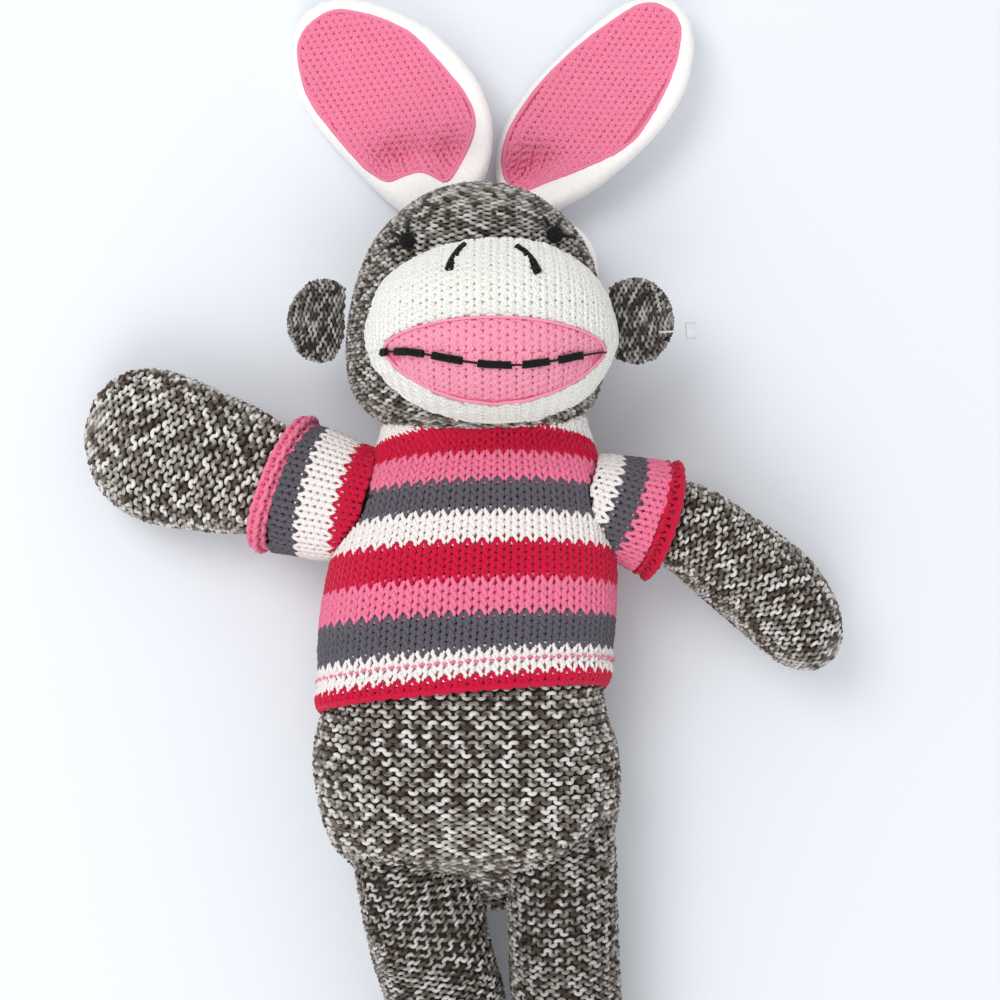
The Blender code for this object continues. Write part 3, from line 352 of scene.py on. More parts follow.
def link_vector(tree, kind, *values):
    node = tree.nodes.new("ShaderNodeVectorMath")
    node.operation = kind
    return plug(tree, node, values)


def plug(tree, node, values):
    for socket, value in zip([s for s in node.inputs if s.enabled], values):
        if isinstance(value, bpy.types.NodeSocket):
            tree.links.new(value, socket)
        else:
            socket.default_value = value
    return next(s for s in node.outputs if s.enabled)


def scaled(tree, vector, factor):
    node = tree.nodes.new("ShaderNodeVectorMath")
    node.operation = "SCALE"
    tree.links.new(vector, node.inputs[0])
    if isinstance(factor, bpy.types.NodeSocket):
        tree.links.new(factor, node.inputs["Scale"])
    else:
        node.inputs["Scale"].default_value = factor
    return node.outputs[0]


def stored(tree, name, kind):
    node = tree.nodes.new("GeometryNodeInputNamedAttribute")
    node.data_type = kind
    node.inputs["Name"].default_value = name
    return node.outputs["Attribute"]


def store(tree, geometry, name, value):
    node = tree.nodes.new("GeometryNodeStoreNamedAttribute")
    node.data_type, node.domain = "FLOAT", "POINT"
    node.inputs["Name"].default_value = name
    tree.links.new(geometry, node.inputs["Geometry"])
    tree.links.new(value, node.inputs["Value"])
    return node.outputs["Geometry"]


def step(tree, kind, geometry, **inputs):
    node = tree.nodes.new(kind)
    tree.links.new(geometry, node.inputs[0])
    for name, value in inputs.items():
        socket = node.inputs[name.replace("_", " ")]
        if isinstance(value, bpy.types.NodeSocket):
            tree.links.new(value, socket)
        else:
            socket.default_value = value
    return node.outputs[0]


# %% build the loop maker
loop_inputs = (("Loop reach", "Float", 0.2), ("Loop height", "Float", 0.8),
               ("Loop depth", "Float", 0.5 * mm), ("Lift", "Float", 0.0),
               ("Yarn radius", "Float", 0.8 * mm), ("Yarn sides", "Int", 4),
               ("Unevenness", "Float", 0.2 * mm), ("Seed", "Float", 1.0), ("Yarn", "Material", None))
unevenness_scale = 260.0
shift_of_row = 0.137


def loop_move(tree, given, noise):
    """How each point of a plain line moves to lie on a loop."""
    phase = stored(tree, "phase", "FLOAT")
    double = link_math(tree, "MULTIPLY", phase, 2.0)
    sideways = link_math(tree, "MULTIPLY", link_math(tree, "SINE", double), given["Loop reach"])
    upwards = link_math(tree, "MULTIPLY", link_math(tree, "COSINE", phase), given["Loop height"])
    outwards = link_math(tree, "MULTIPLY_ADD", link_math(tree, "COSINE", double),
                         given["Loop depth"], given["Lift"])
    move = scaled(tree, stored(tree, "across", "FLOAT_VECTOR"), sideways)
    for name, share in (("rise", upwards), ("out", outwards)):
        move = link_vector(tree, "ADD", move, scaled(tree, stored(tree, name, "FLOAT_VECTOR"), share))
    wander = link_vector(tree, "SUBTRACT", noise.outputs["Color"], (0.5, 0.5, 0.5))
    return link_vector(tree, "ADD", move, scaled(tree, wander, given["Unevenness"]))


def yarn_section(tree, given):
    """A circle whose points know how far round the yarn they lie."""
    ring = tree.nodes.new("GeometryNodeCurvePrimitiveCircle")
    tree.links.new(given["Yarn sides"], ring.inputs["Resolution"])
    tree.links.new(given["Yarn radius"], ring.inputs["Radius"])
    side = tree.nodes.new("GeometryNodeInputIndex").outputs[0]
    turn = link_math(tree, "DIVIDE", side, given["Yarn sides"])
    angle = link_math(tree, "MULTIPLY", turn, 2 * math.pi)
    section = store(tree, ring.outputs[0], "ring_cos", link_math(tree, "COSINE", angle))
    return store(tree, section, "ring_sin", link_math(tree, "SINE", angle))


def make_loop_tree():
    tree = bpy.data.node_groups.new("loop maker", "GeometryNodeTree")
    face = tree.interface
    face.new_socket("Lines", in_out="INPUT", socket_type="NodeSocketGeometry")
    for name, kind, value in loop_inputs:
        socket = face.new_socket(name, in_out="INPUT", socket_type="NodeSocket" + kind)
        if value is not None:
            socket.default_value = value
    face.new_socket("Fabric", in_out="OUTPUT", socket_type="NodeSocketGeometry")
    given = tree.nodes.new("NodeGroupInput").outputs
    noise = tree.nodes.new("ShaderNodeTexNoise")
    noise.noise_dimensions = "4D"
    noise.inputs["Scale"].default_value = unevenness_scale
    noise.inputs["Detail"].default_value = 1.0
    tree.links.new(given["Seed"], noise.inputs["W"])
    tree.links.new(tree.nodes.new("GeometryNodeInputPosition").outputs[0], noise.inputs["Vector"])
    lines = step(tree, "GeometryNodeSetPosition", given["Lines"],
                 Offset=loop_move(tree, given, noise))
    curve = step(tree, "GeometryNodeMeshToCurve", lines)
    length = tree.nodes.new("GeometryNodeSplineParameter").outputs["Length"]
    length = link_math(tree, "MULTIPLY_ADD", stored(tree, "row", "FLOAT"), shift_of_row, length)
    curve = store(tree, curve, "yarn_at", length)
    thick = link_math(tree, "MULTIPLY_ADD", noise.outputs[0], 0.5, 0.75)
    curve = step(tree, "GeometryNodeSetCurveRadius", curve, Radius=thick)
    sweep = tree.nodes.new("GeometryNodeCurveToMesh")
    tree.links.new(curve, sweep.inputs["Curve"])
    tree.links.new(yarn_section(tree, given), sweep.inputs["Profile Curve"])
    sweep.inputs["Fill Caps"].default_value = True
    scale = next((s for s in sweep.inputs if s.name == "Scale"), None)
    if scale is not None:
        tree.links.new(tree.nodes.new("GeometryNodeInputRadius").outputs[0], scale)
    made = step(tree, "GeometryNodeSetShadeSmooth", sweep.outputs[0])
    made = step(tree, "GeometryNodeRealizeInstances", made)
    made = step(tree, "GeometryNodeSetMaterial", made, Material=given["Yarn"])
    tree.links.new(made, tree.nodes.new("NodeGroupOutput").inputs[0])
    return tree


loop_maker = make_loop_tree()
print("loop maker inputs:", [s.name for s in loop_maker.interface.items_tree if s.in_out == "INPUT"])


# %% run the tree on some rows
value_fields = {"FLOAT": "value", "FLOAT_VECTOR": "vector", "FLOAT_COLOR": "color"}


def add_attribute(mesh, name, kind, values):
    slot = mesh.attributes.new(name, kind, "POINT")
    slot.data.foreach_set(value_fields[kind], np.ascontiguousarray(values, np.float32).ravel())


def set_input(modifier, name, value):
    """A modifier's input goes by its socket's identifier."""
    tree = modifier.node_group
    found = next(s for s in tree.interface.items_tree if s.name == name and s.in_out == "INPUT")
    modifier[found.identifier] = value


def run_tree(name, lines, tree, **inputs):
    """Evaluates the tree once on a mesh of lines and gives back a plain mesh object."""
    worker = bpy.data.objects.new(name + "_lines", lines)
    scene.collection.objects.link(worker)
    modifier = worker.modifiers.new("make", "NODES")
    modifier.node_group = tree
    for key, value in inputs.items():
        set_input(modifier, key.replace("_", " "), value)
    bpy.context.view_layer.update()
    made = bpy.data.meshes.new_from_object(worker.evaluated_get(
        bpy.context.evaluated_depsgraph_get()))
    bpy.data.objects.remove(worker)
    bpy.data.meshes.remove(lines)
    made.name = name
    piece = bpy.data.objects.new(name, made)
    scene.collection.objects.link(piece)
    return piece


def knit(name, rows, yarn, seed=1.0, **inputs):
    """Turns rows of points into yarn. Hidden stretches are left out of the lines."""
    edges = []
    total = 0
    for row in rows:
        linked = np.nonzero(row["shown"][:-1] & row["shown"][1:])[0] + total
        edges.append(np.stack([linked, linked + 1], 1))
        total += len(row["shown"])
    edges = np.concatenate(edges)
    used = np.unique(edges)
    place = np.full(total, -1)
    place[used] = np.arange(len(used))
    kept = {key: np.concatenate([row[key] for row in rows])[used] for key in rows[0]}
    lines = bpy.data.meshes.new(name + "_lines")
    lines.from_pydata(kept["spot"].tolist(), place[edges].tolist(), [])
    for key, kind in (("phase", "FLOAT"), ("row", "FLOAT"), ("across", "FLOAT_VECTOR"),
                      ("rise", "FLOAT_VECTOR"), ("out", "FLOAT_VECTOR"), ("dye", "FLOAT_COLOR")):
        add_attribute(lines, key, kind, kept[key])
    piece = run_tree(name, lines, loop_maker, Yarn=yarn, Seed=float(seed), **inputs)
    for spare in ("phase", "across", "rise", "out"):
        if spare in piece.data.attributes:
            piece.data.attributes.remove(piece.data.attributes[spare])
    loops = sum(int(row["shown"].sum()) for row in rows) // points_per_loop
    print(name + ":", len(rows), "rows,", loops, "loops,", len(piece.data.polygons), "faces")
    return piece


# %% kinds of loop
purl = dict(Loop_reach=0.10, Loop_height=0.27, Loop_depth=0.3 * mm, Lift=-0.4 * mm,
            Yarn_radius=0.84 * mm, Unevenness=1.0 * mm)
purl_fine = {**purl, "Yarn_radius": 0.70 * mm, "Unevenness": 0.7 * mm}
plain = dict(Loop_reach=0.24, Loop_height=0.84, Loop_depth=-0.35 * mm, Lift=-0.3 * mm,
             Yarn_radius=0.92 * mm, Unevenness=0.4 * mm)
plain_fine = dict(Loop_reach=0.25, Loop_height=0.86, Loop_depth=-0.15 * mm, Lift=-0.2 * mm,
                  Yarn_radius=1.00 * mm, Unevenness=0.2 * mm)
print("yarn of the marl and the sweater:", [round(kind["Yarn_radius"] / mm, 2)
                                            for kind in (purl, plain)], "mm in radius")

# %% [markdown]
# ## Yarn
#
# The marl is spun from strands of several colours, so its colour changes along the yarn in runs of
# one to three loops, and a dark strand winds round a pale one. Both come from two attributes that
# the loop maker leaves on the yarn: the length from the start of the row, and the side of the yarn.
# An image texture would repeat and blur; these patterns follow every strand.

# %% helpers for materials
def new_material(name, rough=0.85, sheen=0.0):
    material = bpy.data.materials.new(name)
    material.use_nodes = True
    tree = material.node_tree
    shader = tree.nodes["Principled BSDF"]
    shader.inputs["Roughness"].default_value = rough
    shader.inputs["Specular IOR Level"].default_value = 0.12
    shader.inputs["Sheen Weight"].default_value = sheen
    shader.inputs["Sheen Roughness"].default_value = 0.5
    return material, tree, shader


def attribute(tree, name, output="Fac"):
    node = tree.nodes.new("ShaderNodeAttribute")
    node.attribute_name = name
    return node.outputs[output]


def noise_on(tree, vector, scale, detail=2.0, kind="3D", rough=0.5):
    node = tree.nodes.new("ShaderNodeTexNoise")
    node.noise_dimensions = kind
    node.inputs["Scale"].default_value = scale
    node.inputs["Detail"].default_value = detail
    node.inputs["Roughness"].default_value = rough
    if kind == "1D":
        tree.links.new(vector, node.inputs["W"])
    else:
        tree.links.new(vector, node.inputs["Vector"])
    return node.outputs[0]


def object_place(tree):
    return tree.nodes.new("ShaderNodeTexCoord").outputs["Object"]


def ramp(tree, factor, *stops):
    node = tree.nodes.new("ShaderNodeValToRGB")
    tree.links.new(factor, node.inputs["Fac"])
    marks = node.color_ramp.elements
    while len(marks) < len(stops):
        marks.new(0.5)
    for mark, (place, colour) in zip(marks, stops):
        mark.position = place
        mark.color = (*colour, 1) if len(colour) == 3 else colour
    return node.outputs["Color"]


def blend_colours(tree, factor, first, second, kind="MIX"):
    node = tree.nodes.new("ShaderNodeMix")
    node.data_type, node.blend_type = "RGBA", kind
    for socket, value in zip((node.inputs[0], node.inputs[6], node.inputs[7]),
                             (factor, first, second)):
        if isinstance(value, bpy.types.NodeSocket):
            tree.links.new(value, socket)
        elif isinstance(value, (int, float)):
            socket.default_value = value
        else:
            socket.default_value = (*value, 1)
    return node.outputs[2]


def add_bump(tree, shader, height, strength, depth):
    node = tree.nodes.new("ShaderNodeBump")
    node.inputs["Strength"].default_value = strength
    node.inputs["Distance"].default_value = depth
    tree.links.new(height, node.inputs["Height"])
    tree.links.new(node.outputs[0], shader.inputs["Normal"])


def strand_wave(tree, twist, strands):
    """Bright where a strand comes round to this side of the yarn."""
    turn = link_math(tree, "MULTIPLY", attribute(tree, "yarn_at"), 2 * math.pi / twist)
    cosine = link_math(tree, "MULTIPLY", link_math(tree, "COSINE", turn),
                       attribute(tree, "ring_cos"))
    sine = link_math(tree, "MULTIPLY", link_math(tree, "SINE", turn), attribute(tree, "ring_sin"))
    wave = link_math(tree, "ADD", cosine, sine)
    if strands == 2:
        wave = link_math(tree, "SUBTRACT", link_math(tree, "MULTIPLY",
                         link_math(tree, "MULTIPLY", wave, wave), 2.0), 1.0)
    return wave


# %% marl yarn
def make_marl():
    material, tree, shader = new_material("marl_yarn", rough=0.9, sheen=0.1)
    at = attribute(tree, "yarn_at")
    runs = noise_on(tree, at, 112.0, 2.0, "1D", 0.5)
    pale = ramp(tree, runs, (0.38, (0.31, 0.265, 0.225)), (0.47, (0.49, 0.45, 0.40)),
                (0.56, (0.70, 0.66, 0.61)), (0.66, (0.86, 0.83, 0.79)))
    shifts = noise_on(tree, at, 47.0, 1.0, "1D")
    dark = ramp(tree, shifts, (0.38, (0.075, 0.048, 0.035)), (0.52, (0.11, 0.084, 0.064)),
                (0.64, (0.21, 0.18, 0.15)))
    wave = strand_wave(tree, 7.6 * mm, 1)
    share = link_math(tree, "MULTIPLY_ADD", runs, 2.9, -1.36)
    share = link_math(tree, "MULTIPLY_ADD", wave, 0.40, share)
    mix = tree.nodes.new("ShaderNodeMapRange")
    mix.interpolation_type = "SMOOTHSTEP"
    mix.inputs["From Min"].default_value = -0.4
    mix.inputs["From Max"].default_value = 0.4
    tree.links.new(share, mix.inputs["Value"])
    colour = blend_colours(tree, mix.outputs[0], dark, pale)
    fibres = noise_on(tree, object_place(tree), 2200.0, 1.0)
    streak = ramp(tree, fibres, (0.3, (0.70, 0.70, 0.70)), (0.7, (1, 1, 1)))
    colour = blend_colours(tree, 1.0, colour, streak, "MULTIPLY")
    colour = blend_colours(tree, 1.0, colour, attribute(tree, "dye", "Color"), "MULTIPLY")
    tree.links.new(colour, shader.inputs["Base Color"])
    add_bump(tree, shader, fibres, 0.35, 0.25 * mm)
    return material


# %% plain dyed yarn, dark cloth behind it
def make_dyed(name, sheen=0.12, twist=2.4 * mm, groove_shade=0.14):
    """Yarn in the colour that its row was dyed, with painted shade in the grooves between its
    strands.
    """
    material, tree, shader = new_material(name, rough=0.9, sheen=sheen)
    wave = strand_wave(tree, twist, 2)
    fibres = noise_on(tree, object_place(tree), 2400.0, 2.0)
    # The darkening between the strands is painted shade.
    shade = link_math(tree, "MULTIPLY_ADD", wave, groove_shade / 2, 1 - groove_shade / 2)
    shade = link_math(tree, "MULTIPLY", shade, link_math(tree, "MULTIPLY_ADD", fibres, 0.36, 0.82))
    grey = tree.nodes.new("ShaderNodeCombineColor")
    for socket in grey.inputs:
        tree.links.new(shade, socket)
    colour = blend_colours(tree, 1.0, attribute(tree, "dye", "Color"), grey.outputs[0], "MULTIPLY")
    tree.links.new(colour, shader.inputs["Base Color"])
    add_bump(tree, shader, link_math(tree, "ADD", wave, fibres), 0.35, 0.25 * mm)
    return material


def make_dyed_cloth(name, deep=0.7):
    """The same fabric seen between its loops: its row's colour, in their shade."""
    material, tree, shader = new_material(name, rough=0.95)
    speckle = noise_on(tree, object_place(tree), 900.0, 3.0)
    shade = ramp(tree, speckle, (0.3, (deep * 0.7,) * 3), (0.7, (deep,) * 3))
    colour = blend_colours(tree, 1.0, attribute(tree, "dye", "Color"), shade, "MULTIPLY")
    tree.links.new(colour, shader.inputs["Base Color"])
    return material


def make_shade_backing(name, colour):
    """The inside of the fabric, seen only in the small gaps between loops, in a colour of painted
    shade.
    """
    material, tree, shader = new_material(name, rough=0.95)
    speckle = noise_on(tree, object_place(tree), 900.0, 3.0)
    shade = ramp(tree, speckle, (0.3, tuple(c * 0.6 for c in colour)), (0.7, colour))
    tree.links.new(shade, shader.inputs["Base Color"])
    add_bump(tree, shader, speckle, 0.4, 0.4 * mm)
    return material


marl_yarn = make_marl()
dyed_yarn = make_dyed("dyed_yarn")
# Its colour is painted shade: darker than the yarn, for the gaps between loops.
marl_backing = make_shade_backing("marl_backing", (0.075, 0.059, 0.048))
dyed_cloth = make_dyed_cloth("dyed_cloth")
print("yarns:", marl_yarn.name, dyed_yarn.name, "cloth:", dyed_cloth.name)

# %% [markdown]
# ## The cloth behind the loops
#
# Between the loops of a real sock the eye sees yarn further in, darker in its shade. A smooth closed
# skin just under the loops stands for that depth, coloured with painted shade, and keeps the stuffing
# out of sight. On a sweater the cloth is thin and has an inside too, so there it is a closed shell
# between two nets.

# %% smooth closed pieces
backing_depth = 2.0 * mm


def smooth_piece(name, corners, faces, material, dyes=None):
    """A smooth closed piece whose faces all point outwards."""
    mesh = bpy.data.meshes.new(name)
    mesh.from_pydata(corners, [], faces)
    if dyes is not None:
        add_attribute(mesh, "dye", "FLOAT_COLOR", dyes)
    mesh.validate()
    mesh.materials.append(material)
    work = bmesh.new()
    work.from_mesh(mesh)
    bmesh.ops.recalc_face_normals(work, faces=work.faces)
    work.to_mesh(mesh)
    work.free()
    mesh.polygons.foreach_set("use_smooth", np.ones(len(mesh.polygons), bool))
    piece = bpy.data.objects.new(name, mesh)
    scene.collection.objects.link(piece)
    return piece


# %% close a net into a skin
def close_net(surface, name, depth=backing_depth, every=2):
    """A closed body on a net of rings, moved in by depth."""
    net = surface["net"] - surface["out"] * depth
    picks = list(range(0, len(net), every))
    if picks[-1] != len(net) - 1:
        picks.append(len(net) - 1)
    grid = net[picks][:, :-1]
    rows, spots = grid.shape[:2]
    corners = grid.reshape(-1, 3).tolist()
    faces = []
    for k in range(rows - 1):
        for j in range(spots):
            a, b = k * spots + j, k * spots + (j + 1) % spots
            faces.append((a, b, b + spots, a + spots))
    for k, turn in ((0, 1), (rows - 1, -1)):
        corners.append(grid[k].mean(0).tolist())
        hub = len(corners) - 1
        for j in range(spots):
            a, b = k * spots + j, k * spots + (j + 1) % spots
            faces.append((hub, b, a)[::turn])
    return smooth_piece(name, corners, faces, marl_backing)


def shell(name, outer, inner, material, hub=False, dyes=None):
    """A closed body of cloth between two nets of rings. hub closes the first ring to a point."""
    rows, spots = outer.shape[:2]
    corners = np.concatenate([outer.reshape(-1, 3), inner.reshape(-1, 3)]).tolist()
    half = rows * spots
    last = half - spots
    faces = []
    for j in range(spots):
        after = (j + 1) % spots
        for k in range(0, half - spots, spots):
            faces.append((k + j, k + after, k + spots + after, k + spots + j))
            faces.append((half + k + after, half + k + j, half + k + spots + j,
                          half + k + spots + after))
        faces.append((last + j, last + after, half + last + after, half + last + j))
        if hub:
            faces.append((2 * half, after, j))
            faces.append((2 * half + 1, half + j, half + after))
        else:
            faces.append((half + j, half + after, after, j))
    if hub:
        corners += [outer[0].mean(0).tolist(), inner[0].mean(0).tolist()]
    if dyes is not None:
        dyes = np.repeat(np.array([(*dye, 1.0) for dye in dyes]), spots, axis=0)
        dyes = np.concatenate([dyes, dyes])
    return smooth_piece(name, corners, faces, material, dyes)


# %% join parts and set them on the frame
def join(name, *parts):
    """Makes one piece of several meshes that all sit at the origin."""
    bpy.ops.object.select_all(action="DESELECT")
    for part in parts:
        part.select_set(True)
    bpy.context.view_layer.objects.active = parts[0]
    bpy.ops.object.join()
    parts[0].name = parts[0].data.name = name
    return parts[0]


def fit(piece, body, node=None):
    """Says which body a piece moves with, and hides the node of the frame that it stands for."""
    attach(piece, body)
    if node is not None:
        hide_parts(node)

# %% [markdown]
# ## Torso
#
# The torso is the foot of a sock: a fat sack, widest at the seat and narrower at the chest. Only the
# part below the sweater shows its loops; under the sweater the smooth skin is enough.

# %% where the legs lie over the seat
seat_fold_y, seat_fold_climb, seat_fold_depth = -18, 14, 13


def ease(values):
    """Rises smoothly from 0 to 1, as the values do."""
    values = np.clip(values, 0, 1)
    return values * values * (3 - 2 * values)


def seat_dive(spots, extra=0.0):
    """How far the front of the seat sinks where the roots of the legs lie over it. The fold is
    higher at the right hip."""
    x, y, z = np.moveaxis(spots / mm, -1, 0)
    fold_start = seat_fold_y + extra + seat_fold_climb * ease((x - 22) / 24)
    depth = (seat_fold_depth + extra) * ease((fold_start - y) / 13)
    return depth * ease((z - 28) / 18) * mm


# %% torso
shown_below = 50 * mm
torso_line = np.array([(-3, 108, 36), (-3, 60, 37), (-3.5, 0, 36)]) * mm
torso = wrap(shape_of("torso_skin"), stations(torso_line, cap_first=90))
torso["net"][..., 2] -= seat_dive(torso["net"])
torso = finish_net(torso)
torso_levels = even_levels(torso, 3.25 * mm)
torso_levels = torso_levels[[look_up(torso["net"], level, front_spot)[0, 1] < shown_below
                             for level in torso_levels]]
torso_yarn = knit("torso_yarn", lay_rows(torso, torso_levels, 4.5 * mm), marl_yarn, seed=1, **purl)
torso_knit = join("torso_knit", torso_yarn, close_net(torso, "torso_backing"))
fit(torso_knit, "torso", "torso_skin")


# %% [markdown]
# ## Head
#
# The head is a short stuffed tube of the same marl, drawn together at the crown. Its rows are finer
# than the torso's, and lie as rings about a line from the chin to the crown. The white muzzle is
# sewn over its lower front. Yarn that it would hide is left out, which keeps the piece light.

# %% head
head_line = np.array([(-0.6, 146, 40), (-0.4, 155, 40), (0, 165, 40.3)]) * mm
head = finish_net(wrap(shape_of("head_skin"), stations(head_line, cap_first=90)))
muzzle_cup = shape_of("muzzle_skin")
rim_gap = 8 * mm


def clear_of_muzzle(spot, way_out):
    """Leaves out the yarn that the muzzle would hide, but none under its rim."""
    return np.array([n[2] < 0 or muzzle_cup.ray_cast(Vector(p + n * rim_gap), straight_up,
                                                     ray_length)[0] is None
                     for p, n in zip(spot, way_out)])


# The head's marl is drawn darker than the torso's: painted shade.
head_painted_shade = 0.82
head_rows = lay_rows(head, even_levels(head, 2.25 * mm), 4.5 * mm, dyes=(head_painted_shade,) * 3,
                     keep=clear_of_muzzle, loop=purl)
head_yarn = knit("head_yarn", head_rows, marl_yarn, seed=2, **purl_fine)
head_knit = join("head_knit", head_yarn, close_net(head, "head_backing"))
fit(head_knit, "head", "head_skin")

# %% [markdown]
# ## Arms and legs
#
# Each limb is a narrower stuffed tube with a round end. The yarn is knitted over its own middle
# line, so the rows stay square to a bent limb, as they do in a real tube. The legs are sewn on
# under the seat and bulge up over it, so the front of their roots is drawn up a little.

# %% limbs
yarn_share_of_course = 0.27


def stuffed_limb(kind, side, first, last, wale, course, seed, tone, cap_first=0, root_lift=0):
    """first, last: ends of the middle line. The marl's brightness against the torso is painted light
    and
    shade: one yarn drawn lighter or darker for each part, darkest on the low-lying legs.
    root_lift: how far the front of a leg's root is drawn up over the seat. All lengths in mm."""
    name, node = kind + "_knit_" + side, kind + "_skin_" + side
    tree = shape_of(node)
    surface = wrap(tree, stations(middle_line(tree, first, last), cap_first=cap_first))
    root = surface["net"] / mm
    lift = root_lift * ease((root[..., 1] + 62) / 22) * ease((root[..., 2] - 22) / 20)
    surface["net"][..., 1] += lift * mm
    surface = finish_net(surface)
    rows = lay_rows(surface, even_levels(surface, course * mm), wale * mm, dyes=(tone,) * 3)
    kind_of_loop = {**purl, "Yarn_radius": yarn_share_of_course * course * mm}
    yarn = knit(name + "_yarn", rows, marl_yarn, seed=seed, **kind_of_loop)
    piece = join(name, yarn, close_net(surface, name + "_backing"))
    fit(piece, kind + "_" + side, node)


# The marl of each limb is drawn lighter or darker here by painted light and shade.
stuffed_limb("arm", "left", (-45, 101, 33), (-119, 121, 20), wale=4.4, course=3.1, seed=3, tone=1.1)
stuffed_limb("arm", "right", (49, 98, 34), (111, 61, 26), wale=4.3, course=2.6, seed=4, tone=1.0)
stuffed_limb("leg", "left", (-20.5, -47, 40), (-15.6, -159, 18), wale=4.3, course=2.45, seed=5,
             tone=0.79, cap_first=90, root_lift=15)
stuffed_limb("leg", "right", (29.5, -44, 40), (38, -155, 18), wale=4.0, course=2.85, seed=6,
             tone=0.73, cap_first=90, root_lift=18)

# %% [markdown]
# ## Muzzle and lips
#
# The muzzle is a white knitted cup sewn over the face and stuffed. The lips are the same fabric in
# pink, so the columns of loops run straight up through both. One net is laid over the cup, and each
# point of yarn belongs to the lips or to the muzzle by where it lies.

# %% outlines seen from above
def hits_above(tree, places):
    """The height of a piece at some places, read by rays from above, or NaN beside it."""
    found = [tree.ray_cast(Vector((x, y, overhead)), straight_down)[0] for x, y in places[:, :2]]
    return np.array([np.nan if spot is None else spot.z for spot in found])


def evened(ring, turns):
    """Evens out values that run round a ring."""
    for _ in range(turns):
        ring = (np.roll(ring, 1) + 2 * ring + np.roll(ring, -1)) / 4
    return ring


def edge_of(tree, centre, spots=120, far=60 * mm, turns=2):
    """The outline of a piece from above: on each way out, the last place where a ray meets it."""
    angles = np.linspace(0, 2 * math.pi, spots, endpoint=False)
    ways = np.stack([np.cos(angles), np.sin(angles)], 1)
    steps = np.linspace(0, far, 241)
    centre = np.array(centre)[None, :2]
    reach = []
    for way in ways:
        height = hits_above(tree, centre + steps[:, None] * way)
        reach.append(steps[np.nonzero(~np.isnan(height))[0][-1]])
    return centre + evened(np.array(reach), turns)[:, None] * ways


# %% measure an outline
def within(outline, places):
    """Which places lie inside a closed outline, by counting the edges that they pass."""
    x, y = places[:, 0, None], places[:, 1, None]
    x0, y0 = outline[:, 0], outline[:, 1]
    x1, y1 = np.roll(x0, -1), np.roll(y0, -1)
    spans = (y0 > y) != (y1 > y)
    rise = np.where(y1 == y0, 1e-12, y1 - y0)
    return (spans & (x < x0 + (y - y0) * (x1 - x0) / rise)).sum(1) % 2 == 1


def distance_to(outline, places):
    gap = np.linalg.norm(places[:, None, :2] - outline[None, :, :2], axis=2)
    return gap.min(1)


def rings_inside(outline, shares):
    """The outline drawn again at some shares of its size, about its middle."""
    centre = outline.mean(0)
    return centre + (outline - centre)[None] * shares[:, None, None]


def closed_path(points):
    return np.concatenate([points, points[:1]])


# %% single threads
def threads(name, paths, radius, colour, seed=1.0, unevenness=0.2 * mm):
    """Plain lengths of yarn along given paths, made by the same tree with no loops in it."""
    rows = []
    for number, path in enumerate(paths):
        path = np.array(path, float)
        still = np.zeros_like(path)
        rows.append({"spot": path, "out": still, "across": still, "rise": still,
                     "phase": np.zeros(len(path)), "shown": np.ones(len(path), bool),
                     "row": np.full(len(path), float(number)),
                     "dye": np.tile((*colour, 1.0), (len(path), 1))})
    return knit(name, rows, dyed_yarn, seed=seed, Loop_reach=0.0, Loop_height=0.0,
                Loop_depth=0.0, Lift=0.0, Yarn_radius=radius, Unevenness=unevenness)


# %% rounded copies of a node
def soft_copy(name, node, material, voxel=1.3, smoothing=12, swell=0.0, finer=1):
    """A rounded body in the place of a faceted node. voxel and swell in mm."""
    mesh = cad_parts[node].data.copy()
    piece = bpy.data.objects.new(name, mesh)
    scene.collection.objects.link(piece)
    mesh.materials.clear()
    work = bmesh.new()
    work.from_mesh(mesh)
    bmesh.ops.remove_doubles(work, verts=work.verts, dist=0.005 * mm)
    work.to_mesh(mesh)
    work.free()
    mesh.remesh_voxel_size = voxel * mm
    bpy.context.view_layer.objects.active = piece
    bpy.ops.object.voxel_remesh()
    relax = piece.modifiers.new("relax", "SMOOTH")
    relax.factor, relax.iterations = 0.5, smoothing
    if finer:
        divide = piece.modifiers.new("finer", "SUBSURF")
        divide.levels = divide.render_levels = finer
    if swell:
        fuller = piece.modifiers.new("swell", "DISPLACE")
        fuller.strength, fuller.mid_level = swell * mm, 0.0
    bpy.context.view_layer.update()
    made = bpy.data.meshes.new_from_object(piece.evaluated_get(
        bpy.context.evaluated_depsgraph_get()))
    piece.modifiers.clear()
    piece.data = made
    made.name = name
    made.materials.clear()
    made.materials.append(material)
    made.polygons.foreach_set("use_smooth", np.ones(len(made.polygons), bool))
    print(name, "faces:", len(made.polygons))
    return piece


# %% which yarn is muzzle and which is lips
def on_node(tree, near=4.5):
    """Keeps yarn only where the frame has that cloth, within near mm of it."""
    def keep(spot, way_out):
        return np.array([tree.ray_cast(Vector(p + n * near * mm), Vector(-n), 2 * near * mm)[0]
                         is not None for p, n in zip(spot, way_out)])
    return keep


muzzle_tree = shape_of("muzzle_skin", "lips_panel")
muzzle_line = np.array([(4.9, 149, 50), (4.9, 156, 50), (4.9, 163, 50)]) * mm
muzzle = finish_net(wrap(muzzle_tree, stations(muzzle_line, cap_first=90), spread=96, turns=6))
lips_edge = edge_of(shape_of("lips_panel"), np.array((4.9, 146.5)) * mm, turns=3)
chin = 127.2 * mm


def on_lips(spot, way_out):
    return within(lips_edge, spot)


def on_muzzle(spot, way_out):
    found = on_node(muzzle_tree, 3.5)(spot, way_out)
    return found & ~within(lips_edge, spot) & (spot[:, 1] > chin)


